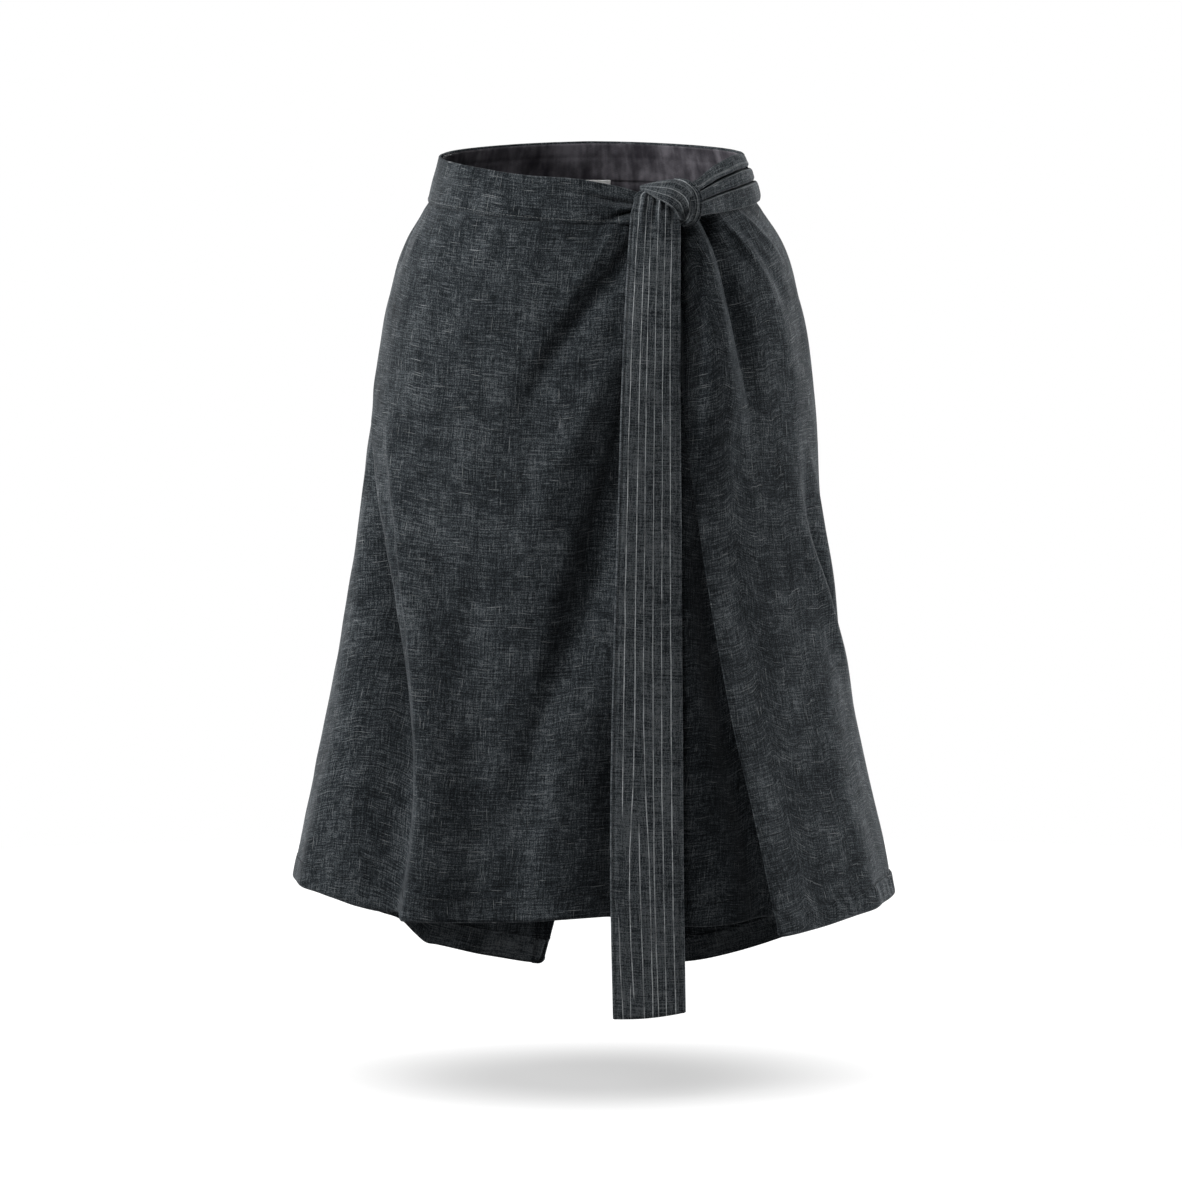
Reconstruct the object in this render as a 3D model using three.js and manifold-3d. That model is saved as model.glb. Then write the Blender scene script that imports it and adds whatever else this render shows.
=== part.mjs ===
// A knee-length wrap skirt, tied in front with a striped sash and open round the waist as when it is worn.
// Millimetres, +Z up, the front towards -Y. The origin is the middle of the waist, half way up the band.
// Angles are degrees round the body: 0 at the front centre, 90 at the wearer's left (+X), 180 at the back.

import * as THREE from "three";
import Module from "manifold-3d";

const wasm = await Module();
wasm.setup();

// ---------------------------------------------------------------- driving sizes

const CLOTH = 1.5; // the shell's cloth
const BAND = 2.2; // waistband and sash, two layers with an interlining
const BAND_OUT = 0.6; // the band lies this far outside the body
const FACING = 1.0;
const SEAM_GAP = 0.4; // between pieces that are sewn together
const STEEPEST = 0.65; // where a wall slants, its depth grows by no more than one over this
const LENGTH = 570; // from the waist seam to the hem
const WAIST_SEAM = -17; // the waist seam at the centre back
const HEM_DEPTH = 20; // turned-up hem
const HEM_EXTRA = 1.0; // what the turned-up layer adds inside
const SIDE_SEAM = 97; // the side seams lie just behind the sides
const FACING_DEPTH = 30.6;
const FACING_IN = 0.9; // from the band's inner face to the facing
const BACK_LOW = -659; // the lowest point of the back
const VENT_TOP = -490; // the centre-back slit starts at this height
const VENT_SPREAD = 9; // degrees that each side of the slit stands open at the hem
const LABEL = { width: 30, height: 18, thick: 1 };

// The body's sections: half-width to the sides, and depth to the front and to the back.
const SECTIONS = [
  { z: 40, side: 119.5, front: 92, back: 95 },
  { z: 19, side: 122.8, front: 93, back: 96 },
  { z: 0, side: 127.5, front: 95, back: 99 },
  { z: -19, side: 133, front: 99, back: 104 },
  { z: -48, side: 151, front: 107, back: 114 },
  { z: -97, side: 166, front: 116, back: 126 },
  { z: -160, side: 177, front: 121, back: 134 },
  { z: -226, side: 183, front: 124, back: 138 },
  { z: -291, side: 190, front: 128, back: 140 },
  { z: -356, side: 200, front: 132, back: 143 },
  { z: -590, side: 247, front: 150, back: 155 },
  { z: -680, side: 265, front: 157, back: 160 },
];

// The waist seen round the body: the top edge, and the seam where the panels hang from the band or the sash.
const WAIST = [
  { at: -180, top: 19, seam: -17 },
  { at: -135, top: 17.8, seam: -17.5 },
  { at: -90, top: 19.5, seam: -18.5 },
  { at: -50, top: 15, seam: -20 },
  { at: -25, top: 10.8, seam: -23.5 },
  { at: -3, top: 8, seam: -25.5 },
  { at: 5, top: 4.7, seam: -26 },
  { at: 13, top: 0.8, seam: -25.5 },
  { at: 18, top: -3, seam: -25 },
  { at: 36, top: 5, seam: -20.5 },
  { at: 52, top: 14.5, seam: -20 },
  { at: 70, top: 21, seam: -18.5 },
  { at: 90, top: 20.8, seam: -17 },
  { at: 135, top: 18.5, seam: -17 },
  { at: 180, top: 19, seam: -17 },
];

// The hems, by angle.
const UNDER_HEM = [
  { at: -97, z: -568 },
  { at: -85, z: -565.5 },
  { at: -72, z: -570 },
  { at: -58, z: -583 },
  { at: -46, z: -588 },
  { at: -18, z: -588 },
  { at: 4, z: -583 },
  { at: 18, z: -591 },
  { at: 37, z: -587 },
  { at: 52, z: -586 },
];
const OVER_HEM = [
  { at: 35, z: -600 },
  { at: 58, z: -590 },
  { at: 80, z: -583 },
  { at: 97, z: -581 },
];
const BACK_HEM = [
  { at: -180, z: -663.5 },
  { at: -171, z: -661 },
  { at: -160, z: -654 },
  { at: -150, z: -642 },
  { at: -146, z: -635 },
  { at: -143, z: -625.5 },
  { at: -138, z: -615 },
  { at: -118, z: -588 },
  { at: -97, z: -568 },
  { at: 97, z: -581 },
  { at: 118, z: -597 },
  { at: 130, z: -614 },
  { at: 141, z: -632 },
  { at: 157, z: -651 },
  { at: 180, z: -663.5 },
];

// The wrap's edges, as angles at a height: the free edge of the left front, and the right front's hidden one.
const WRAP_EDGES = [
  { z: -25, free: 18, hidden: 44 },
  { z: -222, free: 25.5, hidden: 47 },
  { z: -273, free: 27.2, hidden: 48 },
  { z: -342, free: 28.9, hidden: 49 },
  { z: -412, free: 30.6, hidden: 50 },
  { z: -502, free: 33.4, hidden: 51 },
  { z: -600, free: 35.4, hidden: 52 },
];
const WRAP_LIFT = 4; // how far the upper layer lies off the body where it covers the lower one

// Folds, by the layer that has them. A fold runs from one height to another. Its angle and rise are given at
// its start, middle and end, and spread, its half-width, at its start and end. A lean above 0 steepens it
// towards greater angles.
const SHELL_FOLDS = [ // of all the panels
  { fold: "right ridge", z: [-165, -600], angle: [-73, -40, -34], rise: [0, 14, 15], spread: [10, 26],
    lean: -0.5 },
  { fold: "right hollow", z: [-130, -610], angle: [-109, -58, -48], rise: [0, -42, -36], spread: [6, 38],
    lean: 0.45 },
  { fold: "left ridge", z: [-215, -470], angle: [62, 71, 100], rise: [0, 8, 0], spread: [8, 14],
    lean: 0.35 },
  { fold: "left crease", z: [-215, -430], angle: [66, 76, 96], rise: [0, -7, 0], spread: [6, 9] },
  { fold: "left upper ridge", z: [-185, -410], angle: [68, 82, 92], rise: [0, 7, 0], spread: [7, 11],
    lean: 0.3 },
  { fold: "left hollow", z: [-170, -620], angle: [88, 98, 110], rise: [0, -8, -13], spread: [11, 26] },
];
const BACK_FOLDS = [ // of both backs
  { fold: "right flute", z: [-260, -680], angle: [-128, -132, -135], rise: [0, 6, 10], spread: [22, 32] },
  { fold: "right trough", z: [-280, -680], angle: [-150, -154, -157], rise: [0, -6, -11], spread: [20, 28] },
  { fold: "left flute", z: [-250, -680], angle: [136, 138, 139], rise: [0, 7, 10], spread: [22, 34] },
  { fold: "left trough", z: [-270, -680], angle: [158, 160, 161], rise: [0, -5, -9], spread: [18, 26] },
];
const UNDER_FOLDS = [ // of the right front, which lies under
  { fold: "upper drag", z: [-24, -235], angle: [19, -10.5, -22], rise: [-6, -4, 0], spread: [7, 20],
    lean: -0.2 },
  { fold: "drag ridge", z: [-60, -340], angle: [20, -5, -17], rise: [0, 4, 0], spread: [8, 20] },
  { fold: "lower drag", z: [-60, -540], angle: [17, -1, -18], rise: [0, -14, 0], spread: [6, 26],
    lean: -0.3 },
  { fold: "low drag", z: [-420, -600], angle: [-11, -14, -15], rise: [0, -3, -4], spread: [14, 24] },
  { fold: "low ridge", z: [-330, -600], angle: [-4, -7, -8], rise: [0, 4, 4], spread: [16, 26] },
  { fold: "low trough", z: [-380, -600], angle: [6, 4, 4], rise: [0, -7, -9], spread: [10, 15] },
  { fold: "by the tail", z: [-260, -600], angle: [19, 19, 18], rise: [0, -5, -4], spread: [8, 9] },
  { fold: "under the edge", z: [-200, -600], angle: [27, 31.5, 36], rise: [0, -18, -18], spread: [12, 20] },
];
const OVER_FOLDS = [ // of the left front, which lies over it
  { fold: "free edge", z: [-215, -600], angle: [25.5, 30.5, 35.4], rise: [0, 8, 13], spread: [14, 30] },
  { fold: "by the tail", z: [-15, -360], angle: [29, 25, 24], rise: [-6, -5, -3], spread: [6, 7] },
  { fold: "gather 1", z: [-15, -330], angle: [36, 34.5, 33], rise: [4, 6, 0], spread: [9, 24], lean: 0.6 },
  { fold: "crease 1", z: [-15, -215], angle: [39, 40.8, 45], rise: [-4, -5, 0], spread: [4, 11],
    lean: -0.4 },
  { fold: "gather 2", z: [-15, -170], angle: [44, 57, 70], rise: [2.5, 3, 0], spread: [8, 18], lean: 0.5 },
  { fold: "gather 3", z: [-15, -90], angle: [56, 70, 84], rise: [1.5, 2, 0], spread: [5, 10], lean: 0.4 },
];
const FOLDS = { back: BACK_FOLDS, under: UNDER_FOLDS, over: OVER_FOLDS };

// The sash's tail, from the knot down: its edges, the depth of its outer face at the left edge, and how much
// further back its right edge lies.
const TAIL = [
  { z: 1, left: 41, right: 69, y: -104, turn: 0 },
  { z: -8, left: 34.8, right: 70, y: -106, turn: 0 },
  { z: -26, left: 31, right: 70.5, y: -108.5, turn: 1 },
  { z: -66, left: 28.6, right: 70.5, y: -116.5, turn: 3 },
  { z: -105, left: 26.6, right: 70.5, y: -122, turn: 3 },
  { z: -141, left: 25, right: 70.6, y: -125, turn: 4.5 },
  { z: -245, left: 21.9, right: 71.3, y: -130, turn: 6.5 },
  { z: -344, left: 18.8, right: 72, y: -135.5, turn: 7 },
  { z: -443, left: 16.3, right: 72.6, y: -143.5, turn: 6 },
  { z: -542, left: 15.4, right: 73.2, y: -152, turn: 4 },
  { z: -664, left: 17.6, right: 75, y: -159, turn: 2 },
];
const TAIL_SLANT = 5; // the tail's end is this much shorter at its right corner

// The sash from the knot to the left side: pleats from its top edge down, as shares of its depth.
const SASH_PLEATS = [
  { from: 0, to: 0.34, off: 0.1, bulge: 1.4 },
  { from: 0.34, to: 0.6, off: 2.4, bulge: 1.6 },
  { from: 0.6, to: 1, off: 3.9, bulge: 2.2 },
];
const SASH = { from: 30, to: 90, knotRise: 13, knotReach: 26 };

// The knot's straps: points of the middle line, with width and thickness.
const KNOT_FLAP = [
  { x: 39.5, y: -97.5, z: 2.8, width: 4, thick: 3 },
  { x: 46, y: -103, z: 3, width: 9, thick: 5 },
  { x: 55, y: -108, z: 2.2, width: 16.5, thick: 7 },
  { x: 65, y: -111, z: 0.2, width: 22, thick: 8 },
  { x: 73.5, y: -109.5, z: -6.6, width: 22, thick: 8 },
  { x: 76.5, y: -102, z: -20, width: 14, thick: 7 },
];
const KNOT_RING = [
  { x: 66.5, y: -90, z: 6.5, width: 7, thick: 6 },
  { x: 75, y: -98.5, z: 4.5, width: 12, thick: 8 },
  { x: 81.5, y: -103, z: -1.8, width: 14, thick: 9 },
  { x: 83, y: -104, z: -11, width: 14, thick: 9 },
  { x: 80.5, y: -102.5, z: -20.5, width: 13, thick: 9 },
  { x: 73.5, y: -97, z: -26, width: 8, thick: 6 },
];
const KNOT_CORE = [
  { x: 46, y: -97, z: -3, width: 12, thick: 8 },
  { x: 57, y: -99, z: -6, width: 20, thick: 12 },
  { x: 71, y: -97, z: -8, width: 26, thick: 15 },
  { x: 82, y: -91, z: -9, width: 22, thick: 12 },
];
const KNOT_MIDDLE = new THREE.Vector3(62, -80, -12);

// ---------------------------------------------------------------- curves through tables

const radians = THREE.MathUtils.degToRad;
const mix = THREE.MathUtils.lerp;

function smooth(from, to, x) {
  const t = THREE.MathUtils.clamp((x - from) / (to - from), 0, 1);
  return t * t * (3 - 2 * t);
}

// The value of one column at x, on a smooth curve through a table's rows.
function along(rows, key, column, x) {
  const sorted = rows[0][key] > rows[1][key] ? [...rows].reverse() : rows;
  const last = sorted.length - 1;
  const slope = (i) => (sorted[i + 1][column] - sorted[i][column]) / (sorted[i + 1][key] - sorted[i][key]);
  const tangent = (i) => {
    if (i === 0) return slope(0);
    if (i === last) return slope(last - 1);
    const before = sorted[i][key] - sorted[i - 1][key];
    const after = sorted[i + 1][key] - sorted[i][key];
    return (slope(i - 1) * after + slope(i) * before) / (before + after);
  };
  let i = 0;
  while (i < last - 1 && x > sorted[i + 1][key]) i += 1;
  const span = sorted[i + 1][key] - sorted[i][key];
  const t = THREE.MathUtils.clamp((x - sorted[i][key]) / span, 0, 1);
  const [a, b] = [sorted[i][column], sorted[i + 1][column]];
  const [ma, mb] = [tangent(i) * span, tangent(i + 1) * span];
  const fromFirst = a * (1 + 2 * t) * (1 - t) ** 2 + ma * t * (1 - t) ** 2;
  return fromFirst + b * t * t * (3 - 2 * t) + mb * t * t * (t - 1);
}

// A smooth value through three, at t = 0, 1/2 and 1.
const through = ([a, b, c], t) => a * (1 - t) * (1 - 2 * t) + 4 * b * t * (1 - t) + c * t * (2 * t - 1);
const eased = ([a, b, c], t) => (t < 0.5 ? mix(a, b, smooth(0, 0.5, t)) : mix(b, c, smooth(0.5, 1, t)));

// ---------------------------------------------------------------- the body

// Half-width and depth of the section at a height, on the side that an angle faces.
function section(angle, z) {
  const front = Math.cos(radians(angle)) > 0;
  return {
    side: along(SECTIONS, "z", "side", z),
    depth: along(SECTIONS, "z", front ? "front" : "back", z),
  };
}

// The sum of the folds that a layer has at an angle and a height.
function folded(layer, angle, z) {
  const { side, depth } = section(angle, z);
  const arc = Math.hypot(side * Math.cos(radians(angle)), depth * Math.sin(radians(angle)));
  let sum = 0;
  for (const f of [...SHELL_FOLDS, ...FOLDS[layer]]) {
    const t = Math.min(1, (z - f.z[0]) / (f.z[1] - f.z[0]));
    if (t < 0) continue;
    const away = radians(angle - through(f.angle, t)) * arc;
    const spread = mix(f.spread[0], f.spread[1], t) * (1 - Math.sign(away) * (f.lean ?? 0));
    sum += eased(f.rise, t) * Math.exp(-((away / spread) ** 2));
  }
  return sum;
}

// The horizontal direction straight out of the body at an angle and height.
function bodyNormal(angle, z) {
  const { side, depth } = section(angle, z);
  return new THREE.Vector3(Math.sin(radians(angle)) / side, -Math.cos(radians(angle)) / depth, 0).normalize();
}

// A point on the body at an angle and height, moved outwards by off.
function bodyPoint(angle, z, off) {
  const { side, depth } = section(angle, z);
  const point = new THREE.Vector3(side * Math.sin(radians(angle)), -depth * Math.cos(radians(angle)), z);
  return point.addScaledVector(bodyNormal(angle, z), off);
}

// ---------------------------------------------------------------- closed solids

function geometry(points, faces) {
  const made = new THREE.BufferGeometry();
  made.setAttribute("position", new THREE.Float32BufferAttribute(points.flatMap((p) => [p.x, p.y, p.z]), 3));
  made.setIndex(faces.flat());
  return made;
}

// A wall whose outer face is surface(u, v), where u runs left to right as seen from outside and v runs down.
// It is thick(u, v) deep on its inner side, along outward(u, v) where that is given and else its normal.
// across and down list the values of u and v.
function wall(across, down, surface, thick, outward) {
  const columns = across.length;
  const rows = down.length;
  const outer = down.flatMap((v) => across.map((u) => surface(u, v)));
  const within = (i, count) => THREE.MathUtils.clamp(i, 0, count - 1);
  const at = (i, j) => outer[within(j, rows) * columns + within(i, columns)];
  const inner = outer.map((p, k) => {
    const [i, j] = [k % columns, Math.floor(k / columns)];
    const right = at(i + 1, j).clone().sub(at(i - 1, j));
    const below = at(i, j + 1).clone().sub(at(i, j - 1));
    const normal = below.cross(right).normalize();
    const out = outward ? outward(across[i], down[j]) : normal;
    const slant = Math.max(STEEPEST, out.dot(normal));
    return p.clone().addScaledVector(out, -thick(across[i], down[j]) / slant);
  });
  const back = outer.length;
  const faces = [];
  const quad = (a, b, c, d) => faces.push([a, b, c], [a, c, d]);
  const longer = (a, b, c, d) => outer[a].distanceTo(outer[c]) > outer[b].distanceTo(outer[d]);
  for (let j = 0; j < rows - 1; j += 1) {
    for (let i = 0; i < columns - 1; i += 1) {
      const k = j * columns + i;
      const ring = [k, k + columns, k + columns + 1, k + 1];
      if (longer(...ring)) ring.push(ring.shift());
      quad(...ring);
      quad(...ring.map((n) => n + back).reverse().map((n, at, all) => all[(at + 3) % 4]));
    }
  }
  for (let i = 0; i < columns - 1; i += 1) {
    const low = (rows - 1) * columns + i;
    quad(i, i + 1, back + i + 1, back + i);
    quad(low, back + low, back + low + 1, low + 1);
  }
  for (let j = 0; j < rows - 1; j += 1) {
    const left = j * columns;
    const right = left + columns - 1;
    quad(left, back + left, back + left + columns, left + columns);
    quad(right, right + columns, back + right + columns, back + right);
  }
  return geometry([...outer, ...inner], faces);
}

// A strap of oval section along a table's points, its flat side facing away from the knot's middle, with its
// surface moved out by grow.
function strap(rows, grow) {
  const STATIONS = 14;
  const SIDES = 12;
  const path = new THREE.CatmullRomCurve3(rows.map((r) => new THREE.Vector3(r.x, r.y, r.z)));
  const sizes = new THREE.CatmullRomCurve3(rows.map((r) => new THREE.Vector3(r.width, r.thick, 0)));
  const points = [];
  for (let s = 0; s <= STATIONS; s += 1) {
    const forward = path.getTangent(s / STATIONS);
    const beyond = s === 0 ? -grow : s === STATIONS ? grow : 0;
    const centre = path.getPoint(s / STATIONS).addScaledVector(forward, beyond);
    const size = sizes.getPoint(s / STATIONS);
    const out = centre.clone().sub(KNOT_MIDDLE);
    out.addScaledVector(forward, -out.dot(forward)).normalize();
    const across = out.clone().cross(forward);
    for (let k = 0; k < SIDES; k += 1) {
      const turn = (2 * Math.PI * k) / SIDES;
      points.push(
        centre
          .clone()
          .addScaledVector(across, Math.cos(turn) * (size.x / 2 + grow))
          .addScaledVector(out, Math.sin(turn) * (size.y / 2 + grow)),
      );
    }
  }
  const faces = [];
  for (let s = 0; s < STATIONS; s += 1) {
    for (let k = 0; k < SIDES; k += 1) {
      const [a, b] = [s * SIDES + k, s * SIDES + ((k + 1) % SIDES)];
      faces.push([a, b, b + SIDES], [a, b + SIDES, a + SIDES]);
    }
  }
  const last = STATIONS * SIDES;
  for (let k = 1; k < SIDES - 1; k += 1) {
    faces.push([0, k + 1, k], [last, last + k, last + k + 1]);
  }
  return geometry(points, faces);
}

function toSolid(shape) {
  return new wasm.Manifold(
    new wasm.Mesh({
      numProp: 3,
      vertProperties: new Float32Array(shape.getAttribute("position").array),
      triVerts: new Uint32Array(shape.index.array),
    }),
  );
}

// The largest body of a solid, as a geometry.
function fromSolid(solid) {
  const largest = solid.decompose().sort((a, b) => b.volume() - a.volume())[0];
  const mesh = largest.getMesh();
  const made = new THREE.BufferGeometry();
  made.setAttribute("position", new THREE.Float32BufferAttribute(mesh.vertProperties, 3));
  made.setIndex([...mesh.triVerts]);
  return made;
}

// ---------------------------------------------------------------- the pieces

// Evenly spaced values.
function steps(count, from = 0, to = 1) {
  return Array.from({ length: count + 1 }, (_, i) => mix(from, to, i / count));
}

// A wall on the body. angle(u, v) places its columns, and point(angle, v) its outer face.
function bodyWall({ columns, down, angle, point, thick }) {
  const outward = (u, v) => bodyNormal(angle(u, v), 0);
  return wall(steps(columns), down, (u, v) => point(angle(u, v), v), thick, outward);
}

const seam = (angle) => along(WAIST, "at", "seam", angle);
const top = (angle) => along(WAIST, "at", "top", angle);

// How far out of the body a layer lies. The left front is lifted over the right one, and the right front
// gives way to the folds that press on it past the free edge.
function layerOff(layer, at, z, freeEdge) {
  const own = folded(layer, at, z);
  if (layer === "over") return own + WRAP_LIFT * smooth(78, 56, at);
  if (layer === "back") return own;
  const pressed = Math.min(own, folded("over", at, z));
  return mix(own, pressed, smooth(freeEdge - 2, freeEdge + 2, at));
}

// A panel of the shell. edges(v) gives its two edges as angles, and hem is a table of its lower edge. Its
// columns drift by drift(u) degrees from top to bottom, to follow folds that run aslant.
function panel({ layer, columns, rows, edges, hem, drift }) {
  const hemStart = 1 - HEM_DEPTH / LENGTH;
  const down = [...steps(rows, 0, hemStart), hemStart + 2 / LENGTH, 1];
  const angle = (u, v) => {
    const [first, last] = edges(v);
    return mix(first, last, u) + drift(u) * (0.5 - v);
  };
  const point = (at, v) => {
    const z = mix(seam(at) - SEAM_GAP, along(hem, "at", "z", at), v);
    return bodyPoint(at, z, layerOff(layer, at, z, wrapEdge("free", v)));
  };
  const thick = (u, v) => CLOTH + (v > hemStart ? HEM_EXTRA : 0);
  return bodyWall({ columns, down, angle, point, thick });
}

const SIDE_GAP = THREE.MathUtils.radToDeg(SEAM_GAP / 2 / section(SIDE_SEAM, WAIST_SEAM).depth);
const wrapEdge = (which, v) => along(WRAP_EDGES, "z", which, mix(WRAP_EDGES[0].z, WRAP_EDGES.at(-1).z, v));

function frontRight() {
  const edges = (v) => [-SIDE_SEAM + SIDE_GAP, wrapEdge("hidden", v)];
  const drift = (u) => 230 * u * u * (1 - u);
  return panel({ layer: "under", columns: 42, rows: 20, edges, hem: UNDER_HEM, drift });
}

function frontLeft() {
  const edges = (v) => [wrapEdge("free", v), SIDE_SEAM - SIDE_GAP];
  const drift = (u) => -56 * u * (1 - u);
  return panel({ layer: "over", columns: 30, rows: 20, edges, hem: OVER_HEM, drift });
}

// How far a centre-back edge stands from the middle, in degrees.
function ventOpening(v) {
  const z = mix(WAIST_SEAM, BACK_LOW, v);
  return SIDE_GAP + VENT_SPREAD * Math.max(0, (VENT_TOP - z) / (VENT_TOP - BACK_LOW));
}

function backRight() {
  const edges = (v) => [-180 + ventOpening(v), -SIDE_SEAM - SIDE_GAP];
  return panel({ layer: "back", columns: 20, rows: 20, edges, hem: BACK_HEM, drift: () => 0 });
}

function backLeft() {
  const edges = (v) => [SIDE_SEAM + SIDE_GAP, 180 - ventOpening(v)];
  return panel({ layer: "back", columns: 20, rows: 20, edges, hem: BACK_HEM, drift: () => 0 });
}

// Turns an angle past the back into the range of the tables.
const wrapped = (angle) => (angle < -180 ? angle + 360 : angle);

// The band runs from the knot round the right side and the back to the left side seam.
const BAND_ENDS = { knot: 24, side: -360 + SASH.to + SIDE_GAP };

function waistband() {
  const angle = (u) => mix(BAND_ENDS.side, BAND_ENDS.knot, u);
  const point = (at, v) => {
    const crease = Math.sin(v * Math.PI * 3) * 1.4 * smooth(-20, 8, at);
    const z = mix(top(wrapped(at)), seam(wrapped(at)), v);
    return bodyPoint(wrapped(at), z, BAND_OUT + 5 * smooth(4, 22, at) + crease);
  };
  return bodyWall({ columns: 64, down: steps(5), angle, point, thick: () => BAND });
}

function waistFacing() {
  const angle = (u) => mix(BAND_ENDS.side + 1, 2, u);
  const point = (at, v) => {
    const z = top(wrapped(at)) - mix(1.5, FACING_DEPTH, v);
    return bodyPoint(wrapped(at), z, BAND_OUT - BAND - FACING_IN - 1.4 * smooth(-25, 2, at));
  };
  return bodyWall({ columns: 64, down: steps(2), angle, point, thick: () => FACING });
}

function sashWaist() {
  const angle = (u) => mix(SASH.from, SASH.to, u);
  const point = (at, v) => {
    const pleat = SASH_PLEATS.find((p) => v <= p.to);
    const across = (v - pleat.from) / (pleat.to - pleat.from);
    const nearKnot = smooth(SASH.from + SASH.knotReach, SASH.from, at);
    const off = pleat.off + pleat.bulge * Math.sin(Math.PI * across);
    return bodyPoint(at, mix(top(at), seam(at), v), off + nearKnot * SASH.knotRise);
  };
  return bodyWall({ columns: 12, down: steps(16), angle, point, thick: () => BAND });
}

function sashTail() {
  const surface = (u, v) => {
    const z = mix(TAIL[0].z, TAIL.at(-1).z + TAIL_SLANT * u, v);
    const x = mix(along(TAIL, "z", "left", z), along(TAIL, "z", "right", z), u);
    const gather = 1.6 * Math.cos(u * Math.PI * 5) * smooth(-70, -15, z);
    const crown = 1.5 * (2 * u - 1) ** 2;
    const depth = along(TAIL, "z", "y", z) + along(TAIL, "z", "turn", z) * u;
    return new THREE.Vector3(x, depth + gather + crown, z);
  };
  const down = [...steps(8, 0, 0.12), ...steps(18, 0.12, 1).slice(1)];
  return wall(steps(10), down, surface, () => BAND);
}

function label() {
  const upper = top(180) - FACING_DEPTH - 1.6;
  const edge = THREE.MathUtils.radToDeg(LABEL.width / 2 / section(180, upper).side);
  const angle = (u) => mix(-180 - edge, -180 + edge, u);
  const point = (at, v) => bodyPoint(at, upper - v * LABEL.height, BAND_OUT - BAND - SEAM_GAP);
  return bodyWall({ columns: 4, down: steps(1), angle, point, thick: () => LABEL.thick });
}

const knotParts = (grow) => [KNOT_CORE, KNOT_FLAP, KNOT_RING].map((rows) => toSolid(strap(rows, grow)));
const joined = (solids) => solids.reduce((all, one) => all.add(one));
const knot = joined(knotParts(0));
const knotClearance = joined(knotParts(SEAM_GAP));

// A piece that runs into the knot ends a seam's gap before it.
const intoKnot = (piece) => fromSolid(toSolid(piece).subtract(knotClearance));

// ---------------------------------------------------------------- the skirt

const linen = { color: 0x3b3f42, roughness: 0.92, metalness: 0 };
const satin = { color: 0x2a282c, roughness: 0.45, metalness: 0 };
const striped = { color: 0x3a3e42, roughness: 0.9, metalness: 0 };
const white = { color: 0xd8d8d6, roughness: 0.7, metalness: 0 };

const skirt = new THREE.Group();

function add(name, shape, look) {
  const piece = new THREE.Mesh(shape, new THREE.MeshStandardMaterial(look));
  piece.name = name;
  skirt.add(piece);
}

add("front_right", frontRight(), linen);
add("front_left", frontLeft(), linen);
add("back_right", backRight(), linen);
add("back_left", backLeft(), linen);
add("waistband", intoKnot(waistband()), linen);
add("waist_facing", waistFacing(), satin);
add("sash_waist", intoKnot(sashWaist()), striped);
add("sash_knot", fromSolid(knot), striped);
add("sash_tail", intoKnot(sashTail()), striped);
add("label", label(), white);

export default skirt;
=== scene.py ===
"""A tie-waist wrap skirt in slubbed chambray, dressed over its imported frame.

Metres. +X is the wearer's left, -Y the front, and the origin the middle of the waist. Angles are degrees
round the body: 0 at the front centre, 90 at the wearer's left, 180 at the back.
"""
import math

import bpy
import numpy as np
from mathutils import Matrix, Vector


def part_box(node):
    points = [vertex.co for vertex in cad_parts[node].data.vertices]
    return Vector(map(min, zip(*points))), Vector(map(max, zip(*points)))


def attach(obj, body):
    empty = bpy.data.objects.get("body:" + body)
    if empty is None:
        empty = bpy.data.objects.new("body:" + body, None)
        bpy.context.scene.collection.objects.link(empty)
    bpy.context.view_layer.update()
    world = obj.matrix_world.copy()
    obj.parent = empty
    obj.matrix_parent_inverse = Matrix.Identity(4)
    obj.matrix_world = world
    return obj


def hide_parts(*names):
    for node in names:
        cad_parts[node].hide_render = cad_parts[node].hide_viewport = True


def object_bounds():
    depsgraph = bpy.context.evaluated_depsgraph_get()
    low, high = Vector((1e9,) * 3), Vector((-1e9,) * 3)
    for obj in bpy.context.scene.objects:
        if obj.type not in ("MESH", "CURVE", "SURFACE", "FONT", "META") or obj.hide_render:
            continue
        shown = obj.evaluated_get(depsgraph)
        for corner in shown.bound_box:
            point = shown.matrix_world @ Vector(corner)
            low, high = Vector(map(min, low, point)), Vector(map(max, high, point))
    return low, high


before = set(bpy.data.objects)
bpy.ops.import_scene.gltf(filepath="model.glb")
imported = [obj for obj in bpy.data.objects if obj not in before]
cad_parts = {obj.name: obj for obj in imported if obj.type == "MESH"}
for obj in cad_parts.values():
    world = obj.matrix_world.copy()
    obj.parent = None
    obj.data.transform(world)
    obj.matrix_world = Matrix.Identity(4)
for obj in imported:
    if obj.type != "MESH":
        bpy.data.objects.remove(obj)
cad_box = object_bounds()

MM = 0.001


def table(columns, *rows):
    """Rows of values, each named by a word of columns."""
    return [dict(zip(columns.split(), row)) for row in rows]


# ---------------- the garment's shape, as in its pattern

CLOTH = 0.8 * MM  # one layer
HEM_LAYERS = 1.9 * MM  # a turned hem, or a turned edge
BAND = 2.0 * MM  # the waistband, and the tail of the sash
BAND_OUT = 0.6 * MM  # from the body to the band's outer face
FACING = 0.7 * MM
FACING_GAP = 0.9 * MM  # between the band and the facing
FACING_DEPTH = 30.6 * MM  # down to its seam
TAPE = 0.7 * MM
SEAM_GAP = 0.3 * MM
HEM_DEPTH = 20 * MM
HEM_STITCH = HEM_DEPTH - 1.5 * MM  # the height of its stitching
EDGE_DEPTH = 11 * MM  # the turned free edge of the wrap, and the slit's
CORNER = 3.5 * MM  # the rounding of a panel's lower corner
SIDE_SEAM = 97  # just behind the sides
SIDE_GAP = math.degrees(SEAM_GAP / 2 / 0.1)  # half a seam's gap as an angle, 0.1 m from the axis
BACK_LOW = -0.659  # about where the back's hem lies at the slit
VENT_TOP = -0.490
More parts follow.
